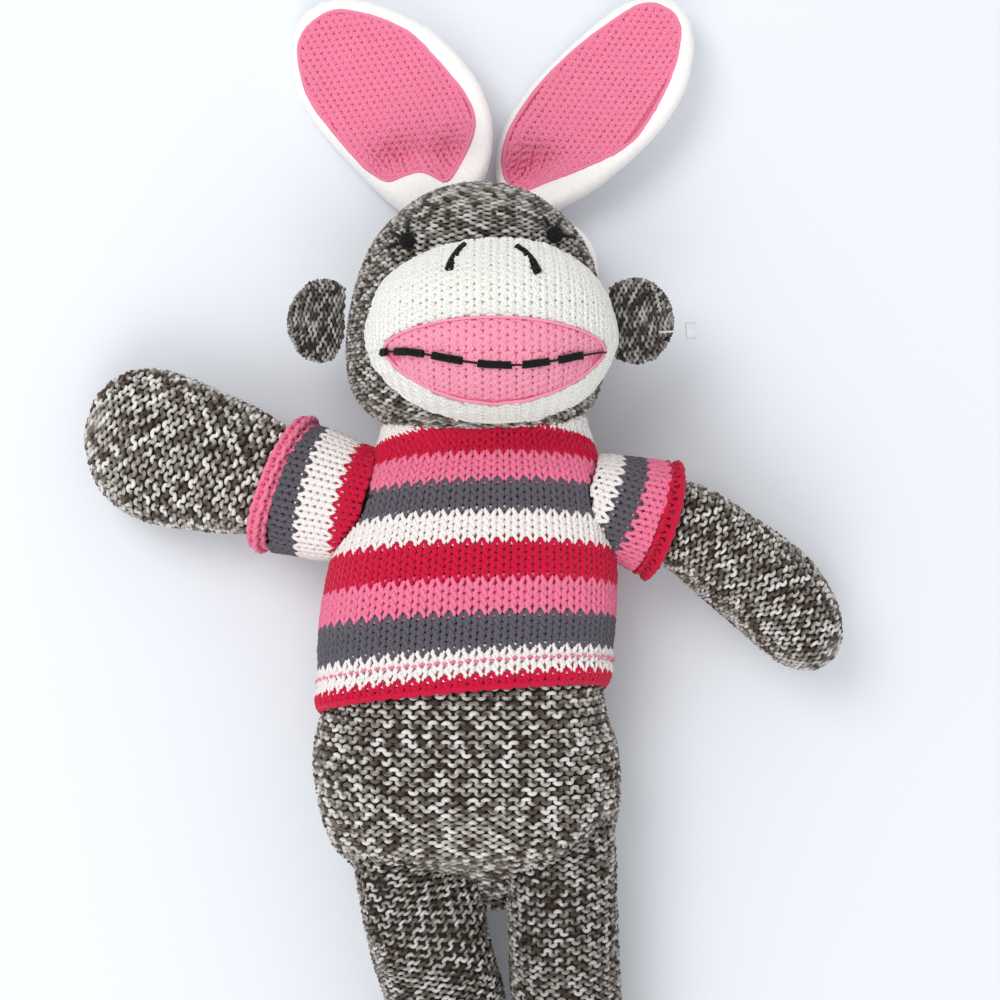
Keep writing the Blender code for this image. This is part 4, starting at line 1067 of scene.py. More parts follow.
# %% yarn of the muzzle and the lips
muzzle_white = (0.95, 0.94, 0.885)
lip_pink = (0.96, 0.345, 0.48)
muzzle_levels = even_levels(muzzle, 2.45 * mm)
white_rows, pink_rows = [
    lay_rows(muzzle, muzzle_levels, 5.3 * mm, dyes=colour, keep=keep, loop=plain_fine)
    for colour, keep in ((muzzle_white, on_muzzle), (lip_pink, on_lips))]
muzzle_yarn = knit("muzzle_yarn", white_rows, dyed_yarn, seed=7, **plain_fine)
# These two are darker than their yarn: painted shade for the gaps between loops.
white_backing = make_shade_backing("white_backing", (0.80, 0.80, 0.72))
pink_backing = make_shade_backing("pink_backing", (0.88, 0.20, 0.32))



# %% the muzzle cup and its turned edge
muzzle_cloth = soft_copy("muzzle_cloth", "muzzle_skin", white_backing, voxel=1.1, smoothing=8,
                         swell=-0.9, finer=0)
muzzle_edge = edge_of(muzzle_tree, np.array((4.9, 156)) * mm, spots=180)
muzzle_edge = rings_inside(muzzle_edge, np.array([0.975]))[0]
under = [muzzle_tree.ray_cast(Vector((x, y, 0)), straight_up)[0] for x, y in muzzle_edge]
heights = filled(np.array([np.nan if spot is None else spot.z for spot in under]), period=180)
seam = np.column_stack([muzzle_edge, evened(heights, 8) + 0.6 * mm])
muzzle_seam = threads("muzzle_seam", [closed_path(seam)], 1.3 * mm, muzzle_white, seed=7)
muzzle_knit = join("muzzle_knit", muzzle_yarn, muzzle_cloth, muzzle_seam)
fit(muzzle_knit, "head", "muzzle_skin")

# %% the lips, a flat cut drawn over the cup
lips_places = rings_inside(lips_edge, np.linspace(0.05, 1.0, 20) * 0.985)
lips_heights = hits_above(muzzle_tree, lips_places.reshape(-1, 2)).reshape(lips_places.shape[:2])
lips_top = np.concatenate([lips_places, lips_heights[..., None]], -1)
lips_cloth = shell("lips_cloth", lips_top - (0, 0, 0.9 * mm), lips_top - (0, 0, 1.6 * mm),
                   pink_backing, hub=True)
lips_yarn = knit("lips_yarn", pink_rows, dyed_yarn, seed=7, **plain_fine)
lips_turn = threads("lips_turn", [closed_path(lips_top[-1])], 0.6 * mm, lip_pink, seed=7)
lips_knit = join("lips_knit", lips_yarn, lips_turn)
fit(lips_knit, "head")
fit(lips_cloth, "head", "lips_panel")


# %% [markdown]
# ## Sweater
#
# The sweater is one striped tube of stocking stitch with its knit side out, so it shows a V for
# every loop. Its rows rise over the chest and slope towards one hip. A stripe is just a change of
# yarn, so each row takes its colour from where it crosses the middle of the front.

# %% stripes
sweater_crimson, sweater_pink = (0.66, 0.007, 0.052), (0.93, 0.215, 0.365)
sweater_grey, sweater_white = (0.125, 0.112, 0.135), (0.96, 0.90, 0.875)
stripe_edges = [(38.2, sweater_crimson), (42.2, sweater_white), (50.9, sweater_grey),
                (62.9, sweater_pink), (74.4, sweater_crimson), (87.0, sweater_white),
                (97.0, sweater_grey), (107.5, sweater_pink), (116.9, sweater_crimson),
                (127.1, sweater_white), (138.0, sweater_white)]
sweater_course, sweater_wale, loops_round_chest = 2.65, 5.1, 56


def colour_at(bands, at):
    """bands: where each band starts, with its colour."""
    return next(colour for start, colour in reversed(bands) if at >= start)


print("stripes:", len(stripe_edges) - 1, "from", stripe_edges[0][0], "to", stripe_edges[-1][0], "mm")


# %% the net of the sweater
foot_y, chest_length, ring_gap = 24, 110, 1.5
slant_shares = (0, 0.13, 0.3, 0.45, 0.57, 0.7, 0.85, 1)
slants = (5.4, 4.8, 2.4, 2.2, 1.6, 1.9, 1.4, -1.2)
rises = (9.5, 9.6, 9.8, 10.6, 12.9, 15.2, 17.5, 16.0)


def sweater_rings():
    """Rings that slant to one hip and rise over the chest, by so many degrees at each share."""
    rows = []
    for y in np.arange(foot_y, foot_y + chest_length + 6, ring_gap):
        share = (y - foot_y) / chest_length
        slant = math.radians(float(np.interp(share, slant_shares, slants)))
        rise = math.radians(float(np.interp(share, slant_shares, rises)))
        axis = unit(np.array([-math.tan(slant), 1.0, -math.tan(rise)]))
        rows.append((np.array([-3.0 + 5.0 * share, y, 37.5]) * mm, axis, 90.0))
    return rows


lowest = 1.6 * mm
sweater = wrap(shape_of("sweater_body", "sweater_hem", "sweater_neckband"), sweater_rings(), turns=8)
sweater["net"][..., 2] = np.maximum(sweater["net"][..., 2], lowest)
sweater = finish_net(sweater)
front_y = sweater["net"][:, net_spots // 2, 1] / mm
print("sweater front from", round(front_y[0], 1), "to", round(front_y[-1], 1), "mm")


# %% rows of the sweater
def front_level(y):
    """The level of the net that crosses the middle of the front at y mm."""
    return np.interp(y, front_y, np.arange(len(front_y)))


def stripe_levels(low, high):
    """Whole rows inside each stripe, so that every stripe starts on a new row."""
    levels, dyes = [], []
    for (edge, colour), (following, _) in zip(stripe_edges, stripe_edges[1:]):
        rows = max(1, round((following - edge) / sweater_course))
        for k in range(rows):
            y = edge + (k + 0.5) * (following - edge) / rows
            if low <= y < high:
                levels.append(front_level(y))
                dyes.append(colour)
    return np.array(levels), dyes


def sweater_part(name, node, low, high, seed, keep=None):
    levels, dyes = stripe_levels(low, high)
    rows = lay_rows(sweater, levels, sweater_wale * mm, count=loops_round_chest, dyes=dyes, keep=keep,
                    loop=plain)
    piece = knit(name, rows, dyed_yarn, seed=seed, **plain)
    fit(piece, "torso", node)
    return piece


# %% the collar's yarn
head_tree = shape_of("head_skin")
neck_tree = shape_of("sweater_neckband")
fold_above, fold_below = 34 * mm, 134 * mm


def on_collar(spot, way_out):
    """The band itself, and the fold above it where that stands clear of the head."""
    found = [head_tree.find_nearest(Vector(p)) for p in spot]
    clear = np.array([(Vector(p) - hit[0]).dot(hit[1]) > 0 for p, hit in zip(spot, found)])
    fold = (spot[:, 2] > fold_above) & (spot[:, 1] < fold_below) & clear
    return on_node(neck_tree, 3.0)(spot, way_out) | fold


# %% body, hem and neckband
hem_low, hem_high, neck_low, neck_high = 38.2, 43.8, 111.9, 138
sweater_body = sweater_part("sweater_knit", "sweater_body", hem_high, neck_low, 8,
                            on_node(shape_of("sweater_body", "sweater_neckband")))
sweater_hem = sweater_part("sweater_hem_knit", "sweater_hem", hem_low, hem_high, 9)
sweater_neck = sweater_part("sweater_neck_knit", "sweater_neckband", neck_low, neck_high, 10,
                            on_collar)


# %% the cloth of the sweater
def tube_cloth(name, surface, levels, dyes, depth=1.0 * mm, thick=0.7 * mm):
    """The thin fabric in which the loops hang, and the size of its flat cut."""
    spots = np.arange(surface["net"].shape[1] - 1, dtype=float)
    net = np.array([look_up(surface["net"], level, spots) for level in levels])
    out = unit(np.array([look_up(surface["out"], level, spots) for level in levels]))
    cloth = shell(name, net - out * depth, net - out * (depth + thick), dyed_cloth, dyes=dyes)
    rings = np.linalg.norm(np.diff(np.concatenate([net, net[:, :1]], 1), axis=1), axis=2).sum(1)
    lengths = np.linalg.norm(np.diff(net, axis=0), axis=2).sum(0)
    flat = (float(rings.mean()), float(lengths.mean()))
    print(name, "flat size (m):", [round(v, 3) for v in flat])
    return cloth, flat


cloth_places = np.arange(38.6, 131, 1.2)
sweater_cloth, sweater_flat = tube_cloth("sweater_cloth", sweater, front_level(cloth_places),
                                         [colour_at(stripe_edges, y) for y in cloth_places])
fit(sweater_cloth, "torso")

# %% the rolled edge of the hem
hem_spots = np.linspace(0, net_spots, 240)
hem_edge = look_up(sweater["net"], front_level(38.4), hem_spots)
hem_out = unit(look_up(sweater["out"], front_level(38.4), hem_spots))
hem_roll = threads("hem_roll", [hem_edge - hem_out * 0.3 * mm], 1.15 * mm, sweater_crimson, seed=9)
sweater_hem = join("sweater_hem_knit", sweater_hem, hem_roll)

# %% the pink stitches along the hem
stitch_levels = [front_level(47.0), front_level(48.6)]
stitch_rows = lay_rows(sweater, stitch_levels, sweater_wale * mm, count=loops_round_chest,
                       dyes=sweater_pink)[:1]
hem_stitches = knit("hem_stitches", stitch_rows, dyed_yarn, seed=9, Loop_reach=0.0,
                    Loop_height=0.12, Loop_depth=0.45 * mm, Lift=0.6 * mm, Yarn_radius=0.42 * mm,
                    Unevenness=0.2 * mm)
fit(hem_stitches, "torso", "hem_thread")


# %% [markdown]
# ## Sleeves and cuffs
#
# The sleeves are the same striped fabric, knitted round the upper arm, so their stripes run round
# the arm and not along it. Each ends in a curled edge. The left edge has rolled over on itself. The
# right one lies flat, as two crimson rows that go on from the end of its sleeve.

# %% sleeves
loops_round_arm = 26


def share_along(surface, levels):
    """How far along a surface some levels lie, from 0 to 1."""
    return np.interp(levels, np.arange(len(surface["tape"])), surface["tape"]) / surface["tape"][-1]


def sleeve(side, line, bands, seed):
    """bands: (share of the way from shoulder to cuff, colour). Gives back the net of the sleeve."""
    name, node = "sleeve_knit_" + side, "sleeve_" + side
    tree = shape_of(node)
    surface = finish_net(wrap(tree, stations(line, cap_last=0), turns=8))
    levels = even_levels(surface, 2.6 * mm)
    dyes = [colour_at(bands, share) for share in share_along(surface, levels)]
    rows = lay_rows(surface, levels, sweater_wale * mm, count=loops_round_arm, dyes=dyes,
                    keep=on_node(tree), loop=plain)
    piece = knit(name, rows, dyed_yarn, seed=seed, **plain)
    spans = np.linspace(levels[0], levels[-1], 24)
    tints = [dyes[int(np.argmin(np.abs(levels - level)))] for level in spans]
    cloth, flat = tube_cloth("sleeve_cloth_" + side, surface, spans, tints)
    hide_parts(node)
    for part in (piece, cloth):
        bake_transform(part)
    return surface["net"]


sleeve_left_line = np.array([(-35, 98.3, 36.2), (-45.3, 100.7, 34.2), (-59, 103.9, 31.5),
                             (-67, 105.8, 29.9)]) * mm
sleeve_right_line = np.array([(38, 103.5, 35.5), (46, 100.5, 34.8), (54, 97.5, 33.6),
                              (62, 95.2, 32.4)]) * mm
sleeve("left", sleeve_left_line,
       [(0.0, sweater_crimson), (0.30, sweater_white), (0.68, sweater_grey)], 11)
sleeve_right_net = sleeve(
    "right", sleeve_right_line,
    [(0.0, sweater_white), (0.30, sweater_grey), (0.62, sweater_pink)], 12)


# %% a curled edge
def cuff(side, middle, ways, axis, height, width, bands, seed):
    """A roll of knit round the arm, height by width in section. middle: its centre line, as a ring.
    ways: out of the arm at each point. axis: along the arm, from the hand to the shoulder."""
    rolls = np.radians(np.linspace(-200, 160, 41))
    net = np.array([middle + height / 2 * math.cos(r) * ways + width / 2 * math.sin(r) * axis
                    for r in rolls])
    surface = finish_net({"net": net, "closed": True})
    surface["out"] = unit(net - middle)
    levels = even_levels(surface, 2.5 * mm)
    dyes = [colour_at(bands, share) for share in share_along(surface, levels)]
    rows = lay_rows(surface, levels, 4.8 * mm, dyes=dyes)
    piece = knit("cuff_knit_" + side, rows, dyed_yarn, seed=seed, **{**plain, "Loop_depth": 0.4 * mm})
    fit(piece, "arm_" + side, "cuff_" + side)
    print("cuff", side, "is", round(height / mm, 1), "by", round(width / mm, 1), "mm in section")


# %% the left edge, rolled over on itself as thick as the frame has it
left_tree = shape_of("cuff_left")
low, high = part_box("cuff_left")
left_centre = np.array((low + high) / 2)
left_axis = unit(np.array([0.927, -0.375, 0.2]))
fore = unit(np.array([0, 0, 1.0]) - left_axis[2] * left_axis)
turns = np.radians(np.linspace(-180, 180, 73))
left_ways = np.cos(turns)[:, None] * fore + np.sin(turns)[:, None] * np.cross(fore, left_axis)
outer, inner = [], []
for way in left_ways:
    outer.append(reach_to(left_tree, left_centre, way))
    hit = left_tree.ray_cast(Vector(left_centre), Vector(way), ray_length)[0]
    inner.append(np.nan if hit is None else (hit - Vector(left_centre)).length)
outer = np.where(np.isnan(outer), np.nanmean(outer), outer)
inner = np.where(np.isnan(inner), np.nanmean(inner), inner)
left_thick = float(np.mean(outer - inner))
left_ring = left_centre + left_ways * ((outer + inner) / 2)[:, None]
cuff("left", left_ring, left_ways, left_axis, left_thick, left_thick,
     [(0.0, sweater_crimson), (0.3, sweater_pink)], 13)

# %% the right edge, flat from the end of its sleeve
right_axis = unit(sleeve_right_line[0] - sleeve_right_line[-1])
right_ring = sleeve_right_net[-1]
right_ways = right_ring - right_ring[:-1].mean(0)
right_ways = unit(right_ways - (right_ways @ right_axis)[:, None] * right_axis)
right_ring = right_ring - right_ways * 0.9 * mm - right_axis * 1.2 * mm
cuff("right", right_ring, right_ways, right_axis, 2.2 * mm, 4.4 * mm, [(0.0, sweater_crimson)], 14)

# %% [markdown]
# ## The monkey's own ears
#
# Each is a small stuffed disc of marl whose rows run up and down, so they are rings round a line
# that points out of the head. They are knitted finer than the rest, and their marl is drawn darker
# by painted shade.

# %% monkey ears
# The ears' marl is darkened here as painted shade.
monkey_ear_painted_shade = 0.58


def monkey_ear(side, first, last, seed):
    name, node = "monkey_ear_knit_" + side, "monkey_ear_" + side
    line = np.array([first, last]) * mm
    surface = finish_net(wrap(shape_of(node), stations(line, step=1.0 * mm), turns=4))
    rows = lay_rows(surface, even_levels(surface, 1.9 * mm), 3.5 * mm, dyes=(monkey_ear_painted_shade,) * 3)
    yarn = knit(name + "_yarn", rows, marl_yarn, seed=seed, **{**purl_fine, "Yarn_radius": 0.6 * mm})
    piece = join(name, yarn, close_net(surface, name + "_backing", depth=1.2 * mm, every=1))
    fit(piece, node, node)


monkey_ear("left", (-46, 162, 46.3), (-54.5, 162.3, 46.3), 15)
monkey_ear("right", (45.5, 162.2, 46.3), (56, 162.4, 46.3), 16)

# %% [markdown]
# ## Plush ears
#
# The tall ears are cut from white plush and lined with pink knit. The plush is a soft closed body
# with a short nap; the lining is knitted over the front, its columns running to the tip.

# %% plush
def make_plush():
    material, tree, shader = new_material("white_plush", rough=0.95, sheen=0.5)
    place = object_place(tree)
    clumps = noise_on(tree, place, 700.0, 4.0, rough=0.65)
    colour = ramp(tree, clumps, (0.30, (0.90, 0.86, 0.83)), (0.7, (0.97, 0.94, 0.92)))
    tree.links.new(colour, shader.inputs["Base Color"])
    add_bump(tree, shader, clumps, 0.35, 0.6 * mm)
    return material


white_plush = make_plush()


# %% smooth outlines from a few points
corner_cut = 0.22


def round_outline(points, rounds=2, spots=160):
    """Cuts the corners of a closed outline a few times, then spaces its points evenly."""
    line = np.array(points, float) * mm
    for _ in range(rounds):
        after = np.roll(line, -1, axis=0)
        line = np.stack([(1 - corner_cut) * line + corner_cut * after,
                         corner_cut * line + (1 - corner_cut) * after], 1).reshape(-1, 2)
    line = closed_path(line)
    tape = tape_along(line)
    marks = np.linspace(0, tape[-1], spots, endpoint=False)
    return np.stack([np.interp(marks, tape, line[:, k]) for k in range(2)], 1)


# %% the shape of the two plush ears
plush_edges = {
    "left": [(-68.5, 266.5), (-65, 276.5), (-55.5, 281.5), (-42.5, 281), (-30.5, 276.5),
             (-17, 269.5), (-6.5, 259), (1, 249), (5.5, 236), (4.5, 221), (-3, 205),
             (-17.5, 197), (-30, 206), (-38.5, 214), (-48, 224), (-58.5, 235.5), (-66.5, 248.5)],
    "right": [(58.5, 282), (70, 281), (76, 273.5), (77.5, 262.5), (74.5, 247), (66, 233),
              (54.5, 221.5), (40, 210), (25, 203), (14, 200), (7.5, 210), (5.5, 222),
              (8.5, 236.5), (18.5, 251.5), (33.5, 266), (50, 279.5)]}
lining_edges = {
    "left": [(-53.5, 277.5), (-63.5, 271), (-66, 263), (-62.5, 246.5), (-50, 230.5), (-40, 219.5),
             (-33, 214.5), (-26.5, 217.5), (-20.5, 219), (-15.5, 216.5), (-11, 213.5), (-6, 221.5),
             (-0.5, 233), (-1.5, 240), (-6, 247.5), (-14, 257), (-23, 267), (-32, 272), (-43, 276)],
    "right": [(61, 279.5), (70, 276), (73, 267.5), (69.5, 252), (62, 237), (54, 226),
              (36, 218), (24.5, 214.5), (14.5, 210.5), (9.5, 215.5), (8, 223.5), (11, 235),
              (21, 250), (35.5, 264), (53, 276.5)]}
ear_folds = {"left": ((-28.5, 224.5), (-9, 225)), "right": ((13.5, 217.5), (21.5, 222.5))}
fold_size, fold_deep, lining_deep = (9 * mm, 7 * mm), 6.5 * mm, 1.6 * mm
print("corners of the ears:", [len(edge) for edge in (*plush_edges.values(), *lining_edges.values())])


# %% how high the lining lies
def lining_height(side, inner):
    """A function for the level of the lining: a tilted plane, dished between its rims and folded
    at its root. The plane is the one that lies nearest to the lining of the frame."""
    low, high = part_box("bunny_ear_lining_" + side)
    grid = np.array([(x, y) for x in np.linspace(low[0], high[0], 30)
                     for y in np.linspace(low[1], high[1], 30)])
    found = hits_above(shape_of("bunny_ear_lining_" + side), grid)
    good = ~np.isnan(found)
    flat = np.linalg.lstsq(np.column_stack([np.ones(good.sum()), grid[good]]), found[good],
                           rcond=None)[0]

    def rest_height(places):
        height = flat[0] + places[:, :2] @ flat[1:]
        deep = ease(distance_to(inner, places) / (9 * mm)) * within(inner, places)
        height = height - lining_deep * deep
        for fold in ear_folds[side]:
            gap = np.linalg.norm((places[:, :2] - np.array(fold) * mm) / fold_size, axis=1)
            height = height - fold_deep * np.exp(-gap * gap)
        return height

    return rest_height


# %% the plush body of an ear
rim_round, rim_stands, lining_bed = 4.2 * mm, 1.0 * mm, 2.2 * mm
half_front, half_back = 4.0 * mm, 3.2 * mm


def plush_body(side, inner, rest_height):
    """A cushion with a round rim, hollowed where the lining is sewn in."""
    shares = np.concatenate([np.linspace(0.04, 0.8, 26), np.linspace(0.82, 1.0, 14)])
    places = rings_inside(round_outline(plush_edges[side]), shares)
    flat_places = places.reshape(-1, 2)
    edge_gap = distance_to(round_outline(plush_edges[side], spots=600), flat_places)
    rounding = np.sqrt(1 - (1 - np.clip(edge_gap / rim_round, 0, 1)) ** 2)
    top = rest_height(flat_places)
    covered = within(inner, flat_places) * ease(distance_to(inner, flat_places) / (2.5 * mm))
    waist = top - half_front
    top = waist + (top + rim_stands - waist) * rounding - lining_bed * covered
    bottom = np.minimum(np.maximum(waist - half_back * rounding, 0.6 * mm), top - 0.8 * mm * rounding)
    shape = places.shape[:2]
    back = shell("bunny_ear_plush_" + side,
                 np.concatenate([places, top.reshape(shape)[..., None]], -1),
                 np.concatenate([places, bottom.reshape(shape)[..., None]], -1),
                 white_plush, hub=True)
    fit(back, "bunny_ear_" + side, "bunny_ear_back_" + side)
    return back


# %% the knitted lining of an ear
lining_pink = (0.97, 0.265, 0.42)
lining_spots = 70


def lining_surface(inner, reach, along, across, rest_height):
    """A flat net whose rows lie across the ear, laid at the level of the lining."""
    start = np.array([*inner.mean(0), 0.0])
    marks = np.linspace(reach[:, 0].min(), reach[:, 0].max(), lining_spots)
    sides = np.linspace(reach[:, 1].min() - 1 * mm, reach[:, 1].max() + 1 * mm, lining_spots + 1)
    net = start + marks[:, None, None] * along + sides[None, :, None] * across
    net[..., 2] = rest_height(net.reshape(-1, 3)).reshape(net.shape[:2]) + 0.5 * mm
    surface = finish_net({"net": net, "closed": False})
    if surface["out"][..., 2].mean() < 0:
        surface["out"] = -surface["out"]
    return surface


def ear_lining(side, inner, rest_height, back, seed):
    """Pink knit laid on the plush, with a turned edge, over its thin cloth."""
    root, tip = inner[np.argmin(inner[:, 1])], inner[np.argmax(inner[:, 1])]
    along = unit(np.array([*(tip - root), 0.0]))
    across = np.array([along[1], -along[0], 0.0])
    reach = (inner - inner.mean(0)) @ np.stack([along, across], 1)[:2]
    surface = lining_surface(inner, reach, along, across, rest_height)
    inset = rings_inside(inner, np.array([0.985]))[0]
    rows = lay_rows(surface, even_levels(surface, 2.45 * mm), 4.9 * mm, dyes=lining_pink,
                    keep=lambda spot, way_out: within(inset, spot), loop=plain_fine)
    yarn = knit("ear_lining_yarn_" + side, rows, dyed_yarn, seed=seed, **plain_fine)
    rim = np.column_stack([inset, rest_height(inset) + 0.6 * mm])
    turned = threads("ear_lining_turn_" + side, [closed_path(rim)], 1.0 * mm, lining_pink, seed=seed)
    lining = join("bunny_ear_knit_" + side, yarn, turned)

    places = rings_inside(inset, np.linspace(0.05, 1, 20))
    height = rest_height(places.reshape(-1, 2)).reshape(20, -1, 1)
    top = np.concatenate([places, height + 0.1 * mm], -1)
    cloth = shell("bunny_ear_cloth_" + side, top, top - (0, 0, 0.6 * mm), pink_backing, hub=True)
    fit(lining, "bunny_ear_" + side)
    fit(cloth, "bunny_ear_" + side, "bunny_ear_lining_" + side)


# %% both ears and the band that joins them
for side, seed in (("left", 17), ("right", 18)):
    inner = round_outline(lining_edges[side])
    rest_height = lining_height(side, inner)
    ear_lining(side, inner, rest_height, plush_body(side, inner, rest_height), seed)
band = soft_copy("ear_band_plush", "ear_band", white_plush, swell=1.8)
fit(band, "head", "ear_band")


# %% [markdown]
# ## The stitched face
#
# The eyes, lashes, nostrils and mouth are black yarn. A satin stitch is one thread wound closely
# round the same small patch, so each bar is made as that thread: a flat coil along a path.

# %% satin stitches
black = (0.009, 0.008, 0.009)


def on_surface(tree, flat, lift):
    """Sets a path of (x, y) in mm on top of a piece."""
    places = np.array(flat, float) * mm
    return np.column_stack([places, filled(hits_above(tree, places)) + lift])


def satin(tree, flat, half_widths, pitch=0.75 * mm, height=0.55 * mm, lift=0.9 * mm):
    """A thread wound along a path, half_widths to either side."""
    path = on_surface(tree, flat, lift)
    tape = tape_along(path)
    turns = max(2, round(tape[-1] / pitch))
    angle = np.linspace(0, 2 * math.pi * turns, turns * 10 + 1)
    at = angle / angle[-1] * tape[-1]
    spot = np.stack([np.interp(at, tape, path[:, k]) for k in range(3)], 1)
    along = unit(np.gradient(spot, axis=0))
    side = unit(np.cross(along, (0, 0, 1.0)))
    upright = np.cross(side, along)
    wide = np.interp(at, tape, np.array(half_widths, float) * mm)
    return spot + side * (np.cos(angle) * wide)[:, None] + upright * (np.sin(angle) * height)[:, None]


# %% mouth
mouth_spots = np.array([(-32, 148.6), (-22, 148.1), (-9.1, 146.2), (6.1, 143.9), (19.2, 144.1),
                        (30.5, 146.7), (43, 149)])
mouth_bars = ((-31.0, -29.2), (-26.4, -17.0), (-14.0, -4.4), (0.6, 11.3), (15.0, 23.6), (26.5, 34.5))
mouth_ends = (-32.0, 42.5)


def mouth_path(first, last, spots):
    """The sag of the mouth between two places: a smooth curve through its few spots, in mm."""
    across = np.linspace(first, last, spots)
    sag = np.polyval(np.polyfit(mouth_spots[:, 0], mouth_spots[:, 1], 4), across)
    return np.column_stack([across, sag])


bars = [satin(muzzle_tree, mouth_path(*ends, 12), np.full(12, 1.05), pitch=0.6 * mm)
        for ends in mouth_bars]
mouth_line = on_surface(muzzle_tree, mouth_path(*mouth_ends, 60), 0.55 * mm)
mouth_bars_yarn = threads("mouth_bars", bars, 0.38 * mm, black, seed=21, unevenness=0.4 * mm)
mouth_thread = threads("mouth_thread", [mouth_line], 0.36 * mm, black, seed=22)
mouth = join("mouth_yarn", mouth_bars_yarn, mouth_thread)
fit(mouth, "head", "mouth_stitch")

# %% nostrils
nostril_paths = {"left": [(-4.0, 184.6), (-6.2, 181.8), (-7.8, 178.6), (-8.8, 175.2)],
                 "right": [(13.2, 183.8), (16.0, 181.4), (18.2, 178.2), (19.9, 174.4)]}
for side, path in nostril_paths.items():
    path = np.array(path)
    marks = np.linspace(0, len(path) - 1, 14)
    smooth = np.column_stack([np.interp(marks, range(len(path)), path[:, k]) for k in range(2)])
    bar = threads("nostril_yarn_" + side,
                  [satin(muzzle_tree, smooth, np.linspace(0.75, 1.25, 14))],
                  0.4 * mm, black, seed=23, unevenness=0.3 * mm)
    fit(bar, "head", "nostril_" + side)


# %% eyes
windings = 15
spots_per_winding = 14


def wound_eye(side, seed):
    """Black yarn wound into a small ball: circles round an axis that keeps turning. Gives back
    the middle of the eye."""
    low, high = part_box("eye_" + side)
    centre, size = np.array((low + high) / 2), float(min(high - low)) / 2
    angle = np.linspace(0, 2 * math.pi * windings, windings * spots_per_winding)
    tip = angle / windings
    lean = angle * 0.38
    first = np.stack([np.cos(tip), np.sin(tip), np.zeros_like(tip)], 1)
    second = np.stack([-np.sin(tip) * np.cos(lean), np.cos(tip) * np.cos(lean), np.sin(lean)], 1)
    wound = centre + (size + 0.1 * mm) * (np.cos(angle)[:, None] * first +
                                          np.sin(angle)[:, None] * second)
    eye = threads("eye_yarn_" + side, [wound], 0.55 * mm, black, seed=seed, unevenness=0.4 * mm)
    fit(eye, "head", "eye_" + side)
    return centre


# %% lashes
def lash(side, number, eye_centre, seed):
    """One strand, from the eye outwards, along the lash of the frame and a little above it."""
    node = "lash_%s_%d" % (side, number)
    corners = np.array([vertex.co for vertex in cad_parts[node].data.vertices])
    middle = corners.mean(0)
    way = np.linalg.svd(corners - middle, full_matrices=False)[2][0]
    reach = (corners - middle) @ way
    ends = [middle + way * reach.min(), middle + way * reach.max()]
    ends.sort(key=lambda spot: np.linalg.norm(spot - eye_centre))
    marks = np.linspace(0, 1, 9)
    strand = ends[0] + (ends[1] - ends[0]) * marks[:, None]
    strand[:, 2] += 1.3 * mm + 0.7 * mm * np.sin(math.pi * marks)
    piece = threads("lash_yarn_%s_%d" % (side, number), [strand], 0.7 * mm, black,
                    seed=seed + number, unevenness=0.4 * mm)
    fit(piece, "head", node)


for side, seed in (("left", 24), ("right", 25)):
    eye_centre = wound_eye(side, seed)
    for number in (1, 2, 3):
        lash(side, number, eye_centre, seed)
print("threads of the face:", len(bars), "mouth bars, 2 nostrils, 2 eyes, 6 lashes")

# %% [markdown]
# ## Stuffing and fastener
#
# The stuffing is loose polyester fibre, all inside. Each lump of the frame is copied, rounded and
# drawn in a little, so that it stays under the cloth. The small clear fastener held a paper tag when
# the doll was sold; only its plastic tie is left at one ear. It and the stub inside the neck are the
# frame's own pieces, and are only given a material.

# %% materials of the inside and the fastener
def make_speckled(name, rough, sheen, scale, detail, clump, low, high):
    """A pale material with soft mottling. clump: how rough the mottling is."""
    material, tree, shader = new_material(name, rough=rough, sheen=sheen)
    mottle = noise_on(tree, object_place(tree), scale, detail, rough=clump)
    tree.links.new(ramp(tree, mottle, (0.3, low), (0.7, high)), shader.inputs["Base Color"])
    return material, tree, shader, mottle


fibre, tree, shader, tufts = make_speckled("stuffing_fibre", 0.95, 0.4, 260.0, 5.0, 0.65,
                                           (0.74, 0.74, 0.72), (0.90, 0.90, 0.88))
add_bump(tree, shader, tufts, 0.6, 1.0 * mm)
clear_plastic, tree, shader, _ = make_speckled("clear_plastic", 0.3, 0.0, 300.0, 2.0, 0.5,
                                               (0.80, 0.80, 0.82), (0.90, 0.90, 0.92))
shader.inputs["Transmission Weight"].default_value = 0.45
shader.inputs["IOR"].default_value = 1.45
print("materials:", fibre.name, clear_plastic.name)

# %% stuffing
head_lumps = ("head_stuffing", "muzzle_stuffing")
for node in sorted(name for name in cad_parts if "stuffing" in name):
    tuft = soft_copy(node + "_fibre", node, fibre, voxel=3.0, smoothing=6, swell=-2.5)
    if node == "torso_stuffing":
        spots = np.array([vertex.co for vertex in tuft.data.vertices])
        spots[:, 2] -= seat_dive(spots, 4.0)
        tuft.data.vertices.foreach_set("co", spots.ravel())
        tuft.data.update()
    body = "head" if node in head_lumps else node.replace("_stuffing", "")
    fit(tuft, body, node)

# %% finishes of the frame's own pieces
for name, material in (("neck_stub", marl_backing), ("tag_fastener", clear_plastic)):
    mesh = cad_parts[name].data
    mesh.materials.clear()
    mesh.materials.append(material)
    print(name, "is finished as", material.name)


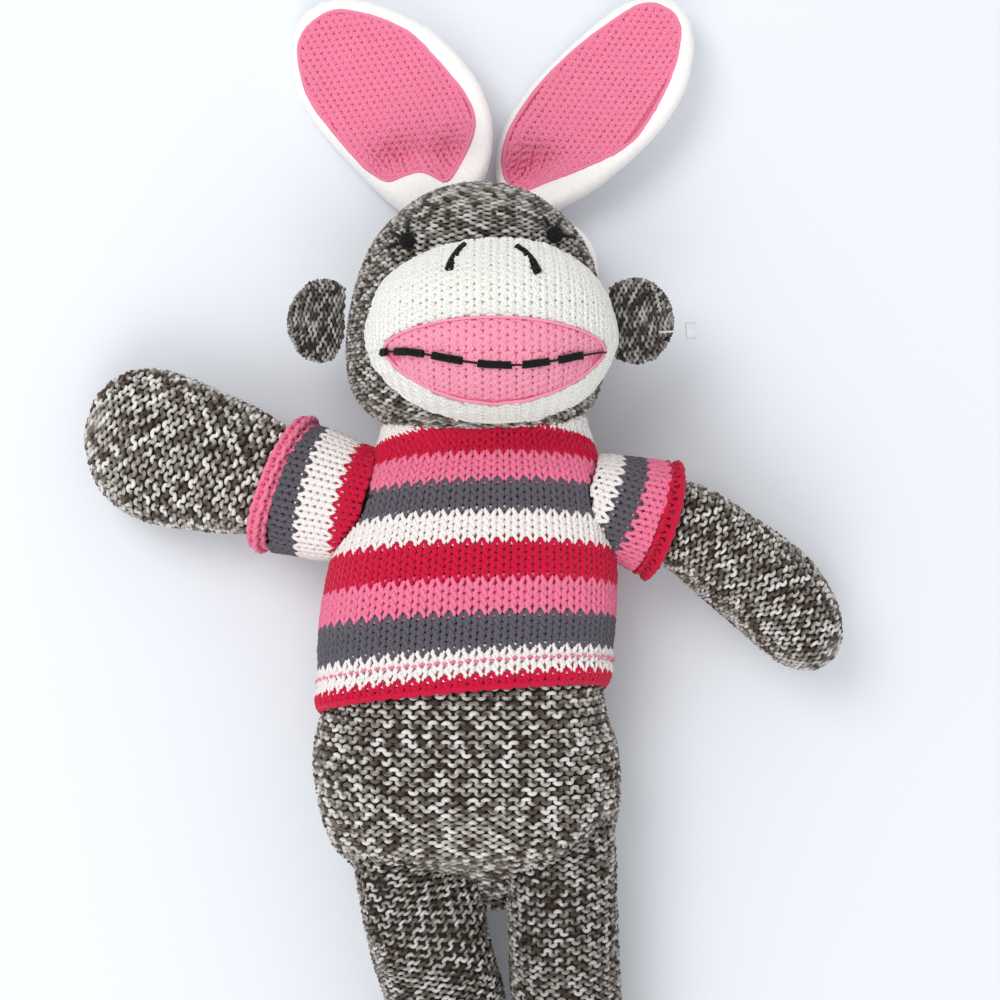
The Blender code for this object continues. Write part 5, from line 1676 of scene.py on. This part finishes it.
# %% [markdown]
# ## Camera, light and table
#
# The camera hangs straight over the chest with a long lens, so the doll is drawn almost without
# perspective. Two broad lamps and a pale room give the soft shadows of a light tent: one lamp from
# beyond the head, one from beyond the feet.

# %% camera
camera_data = bpy.data.cameras.new("camera")
camera_data.sensor_width = 36
camera_data.lens = 77.14
camera = bpy.data.objects.new("camera", camera_data)
camera.location = (0.0077, 0.1005, 0.785)
scene.collection.objects.link(camera)
scene.camera = camera
print("lens:", round(camera_data.lens, 2), "mm,", round(camera.location.z, 3), "m above the table")

# %% the room and the lamps
scene.view_settings.view_transform = "Standard"
lamps_aim = Vector((0, 0.1, 0.03))
world = bpy.data.worlds.new("soft room")
scene.world = world
world.use_nodes = True
room = world.node_tree.nodes["Background"].inputs
room["Color"].default_value = (0.96, 0.98, 1.0, 1)
room["Strength"].default_value = 0.78


def soft_lamp(name, place, size, watts):
    data = bpy.data.lights.new(name, "AREA")
    data.shape, data.size, data.energy = "DISK", size, watts
    lamp = bpy.data.objects.new(name, data)
    lamp.location = place
    lamp.rotation_euler = (lamps_aim - Vector(place)).to_track_quat("-Z", "Y").to_euler()
    scene.collection.objects.link(lamp)
    print(name, "is", round((lamps_aim - Vector(place)).length, 2), "m away")


soft_lamp("key lamp", (-0.45, 0.55, 1.1), 0.7, 5.2)
soft_lamp("fill lamp", (-0.15, -0.75, 1.1), 0.9, 4.6)

# %% table
table_half, table_level = 3, -0.3 * mm
table_mesh = bpy.data.meshes.new("table")
table_mesh.from_pydata([(x * table_half, y * table_half, table_level)
                        for x, y in ((-1, -1), (1, -1), (1, 1), (-1, 1))], [], [(0, 1, 2, 3)])
table = bpy.data.objects.new("table", table_mesh)
scene.collection.objects.link(table)
white_table, tree, shader = new_material("white table", rough=0.9)
shader.inputs["Base Color"].default_value = (0.81, 0.835, 0.875, 1)
table_mesh.materials.append(white_table)
table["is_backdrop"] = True

# %% size and finish
low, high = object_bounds()
print("box of the dressed doll (m):", [round(v, 4) for v in (*low, *high)])
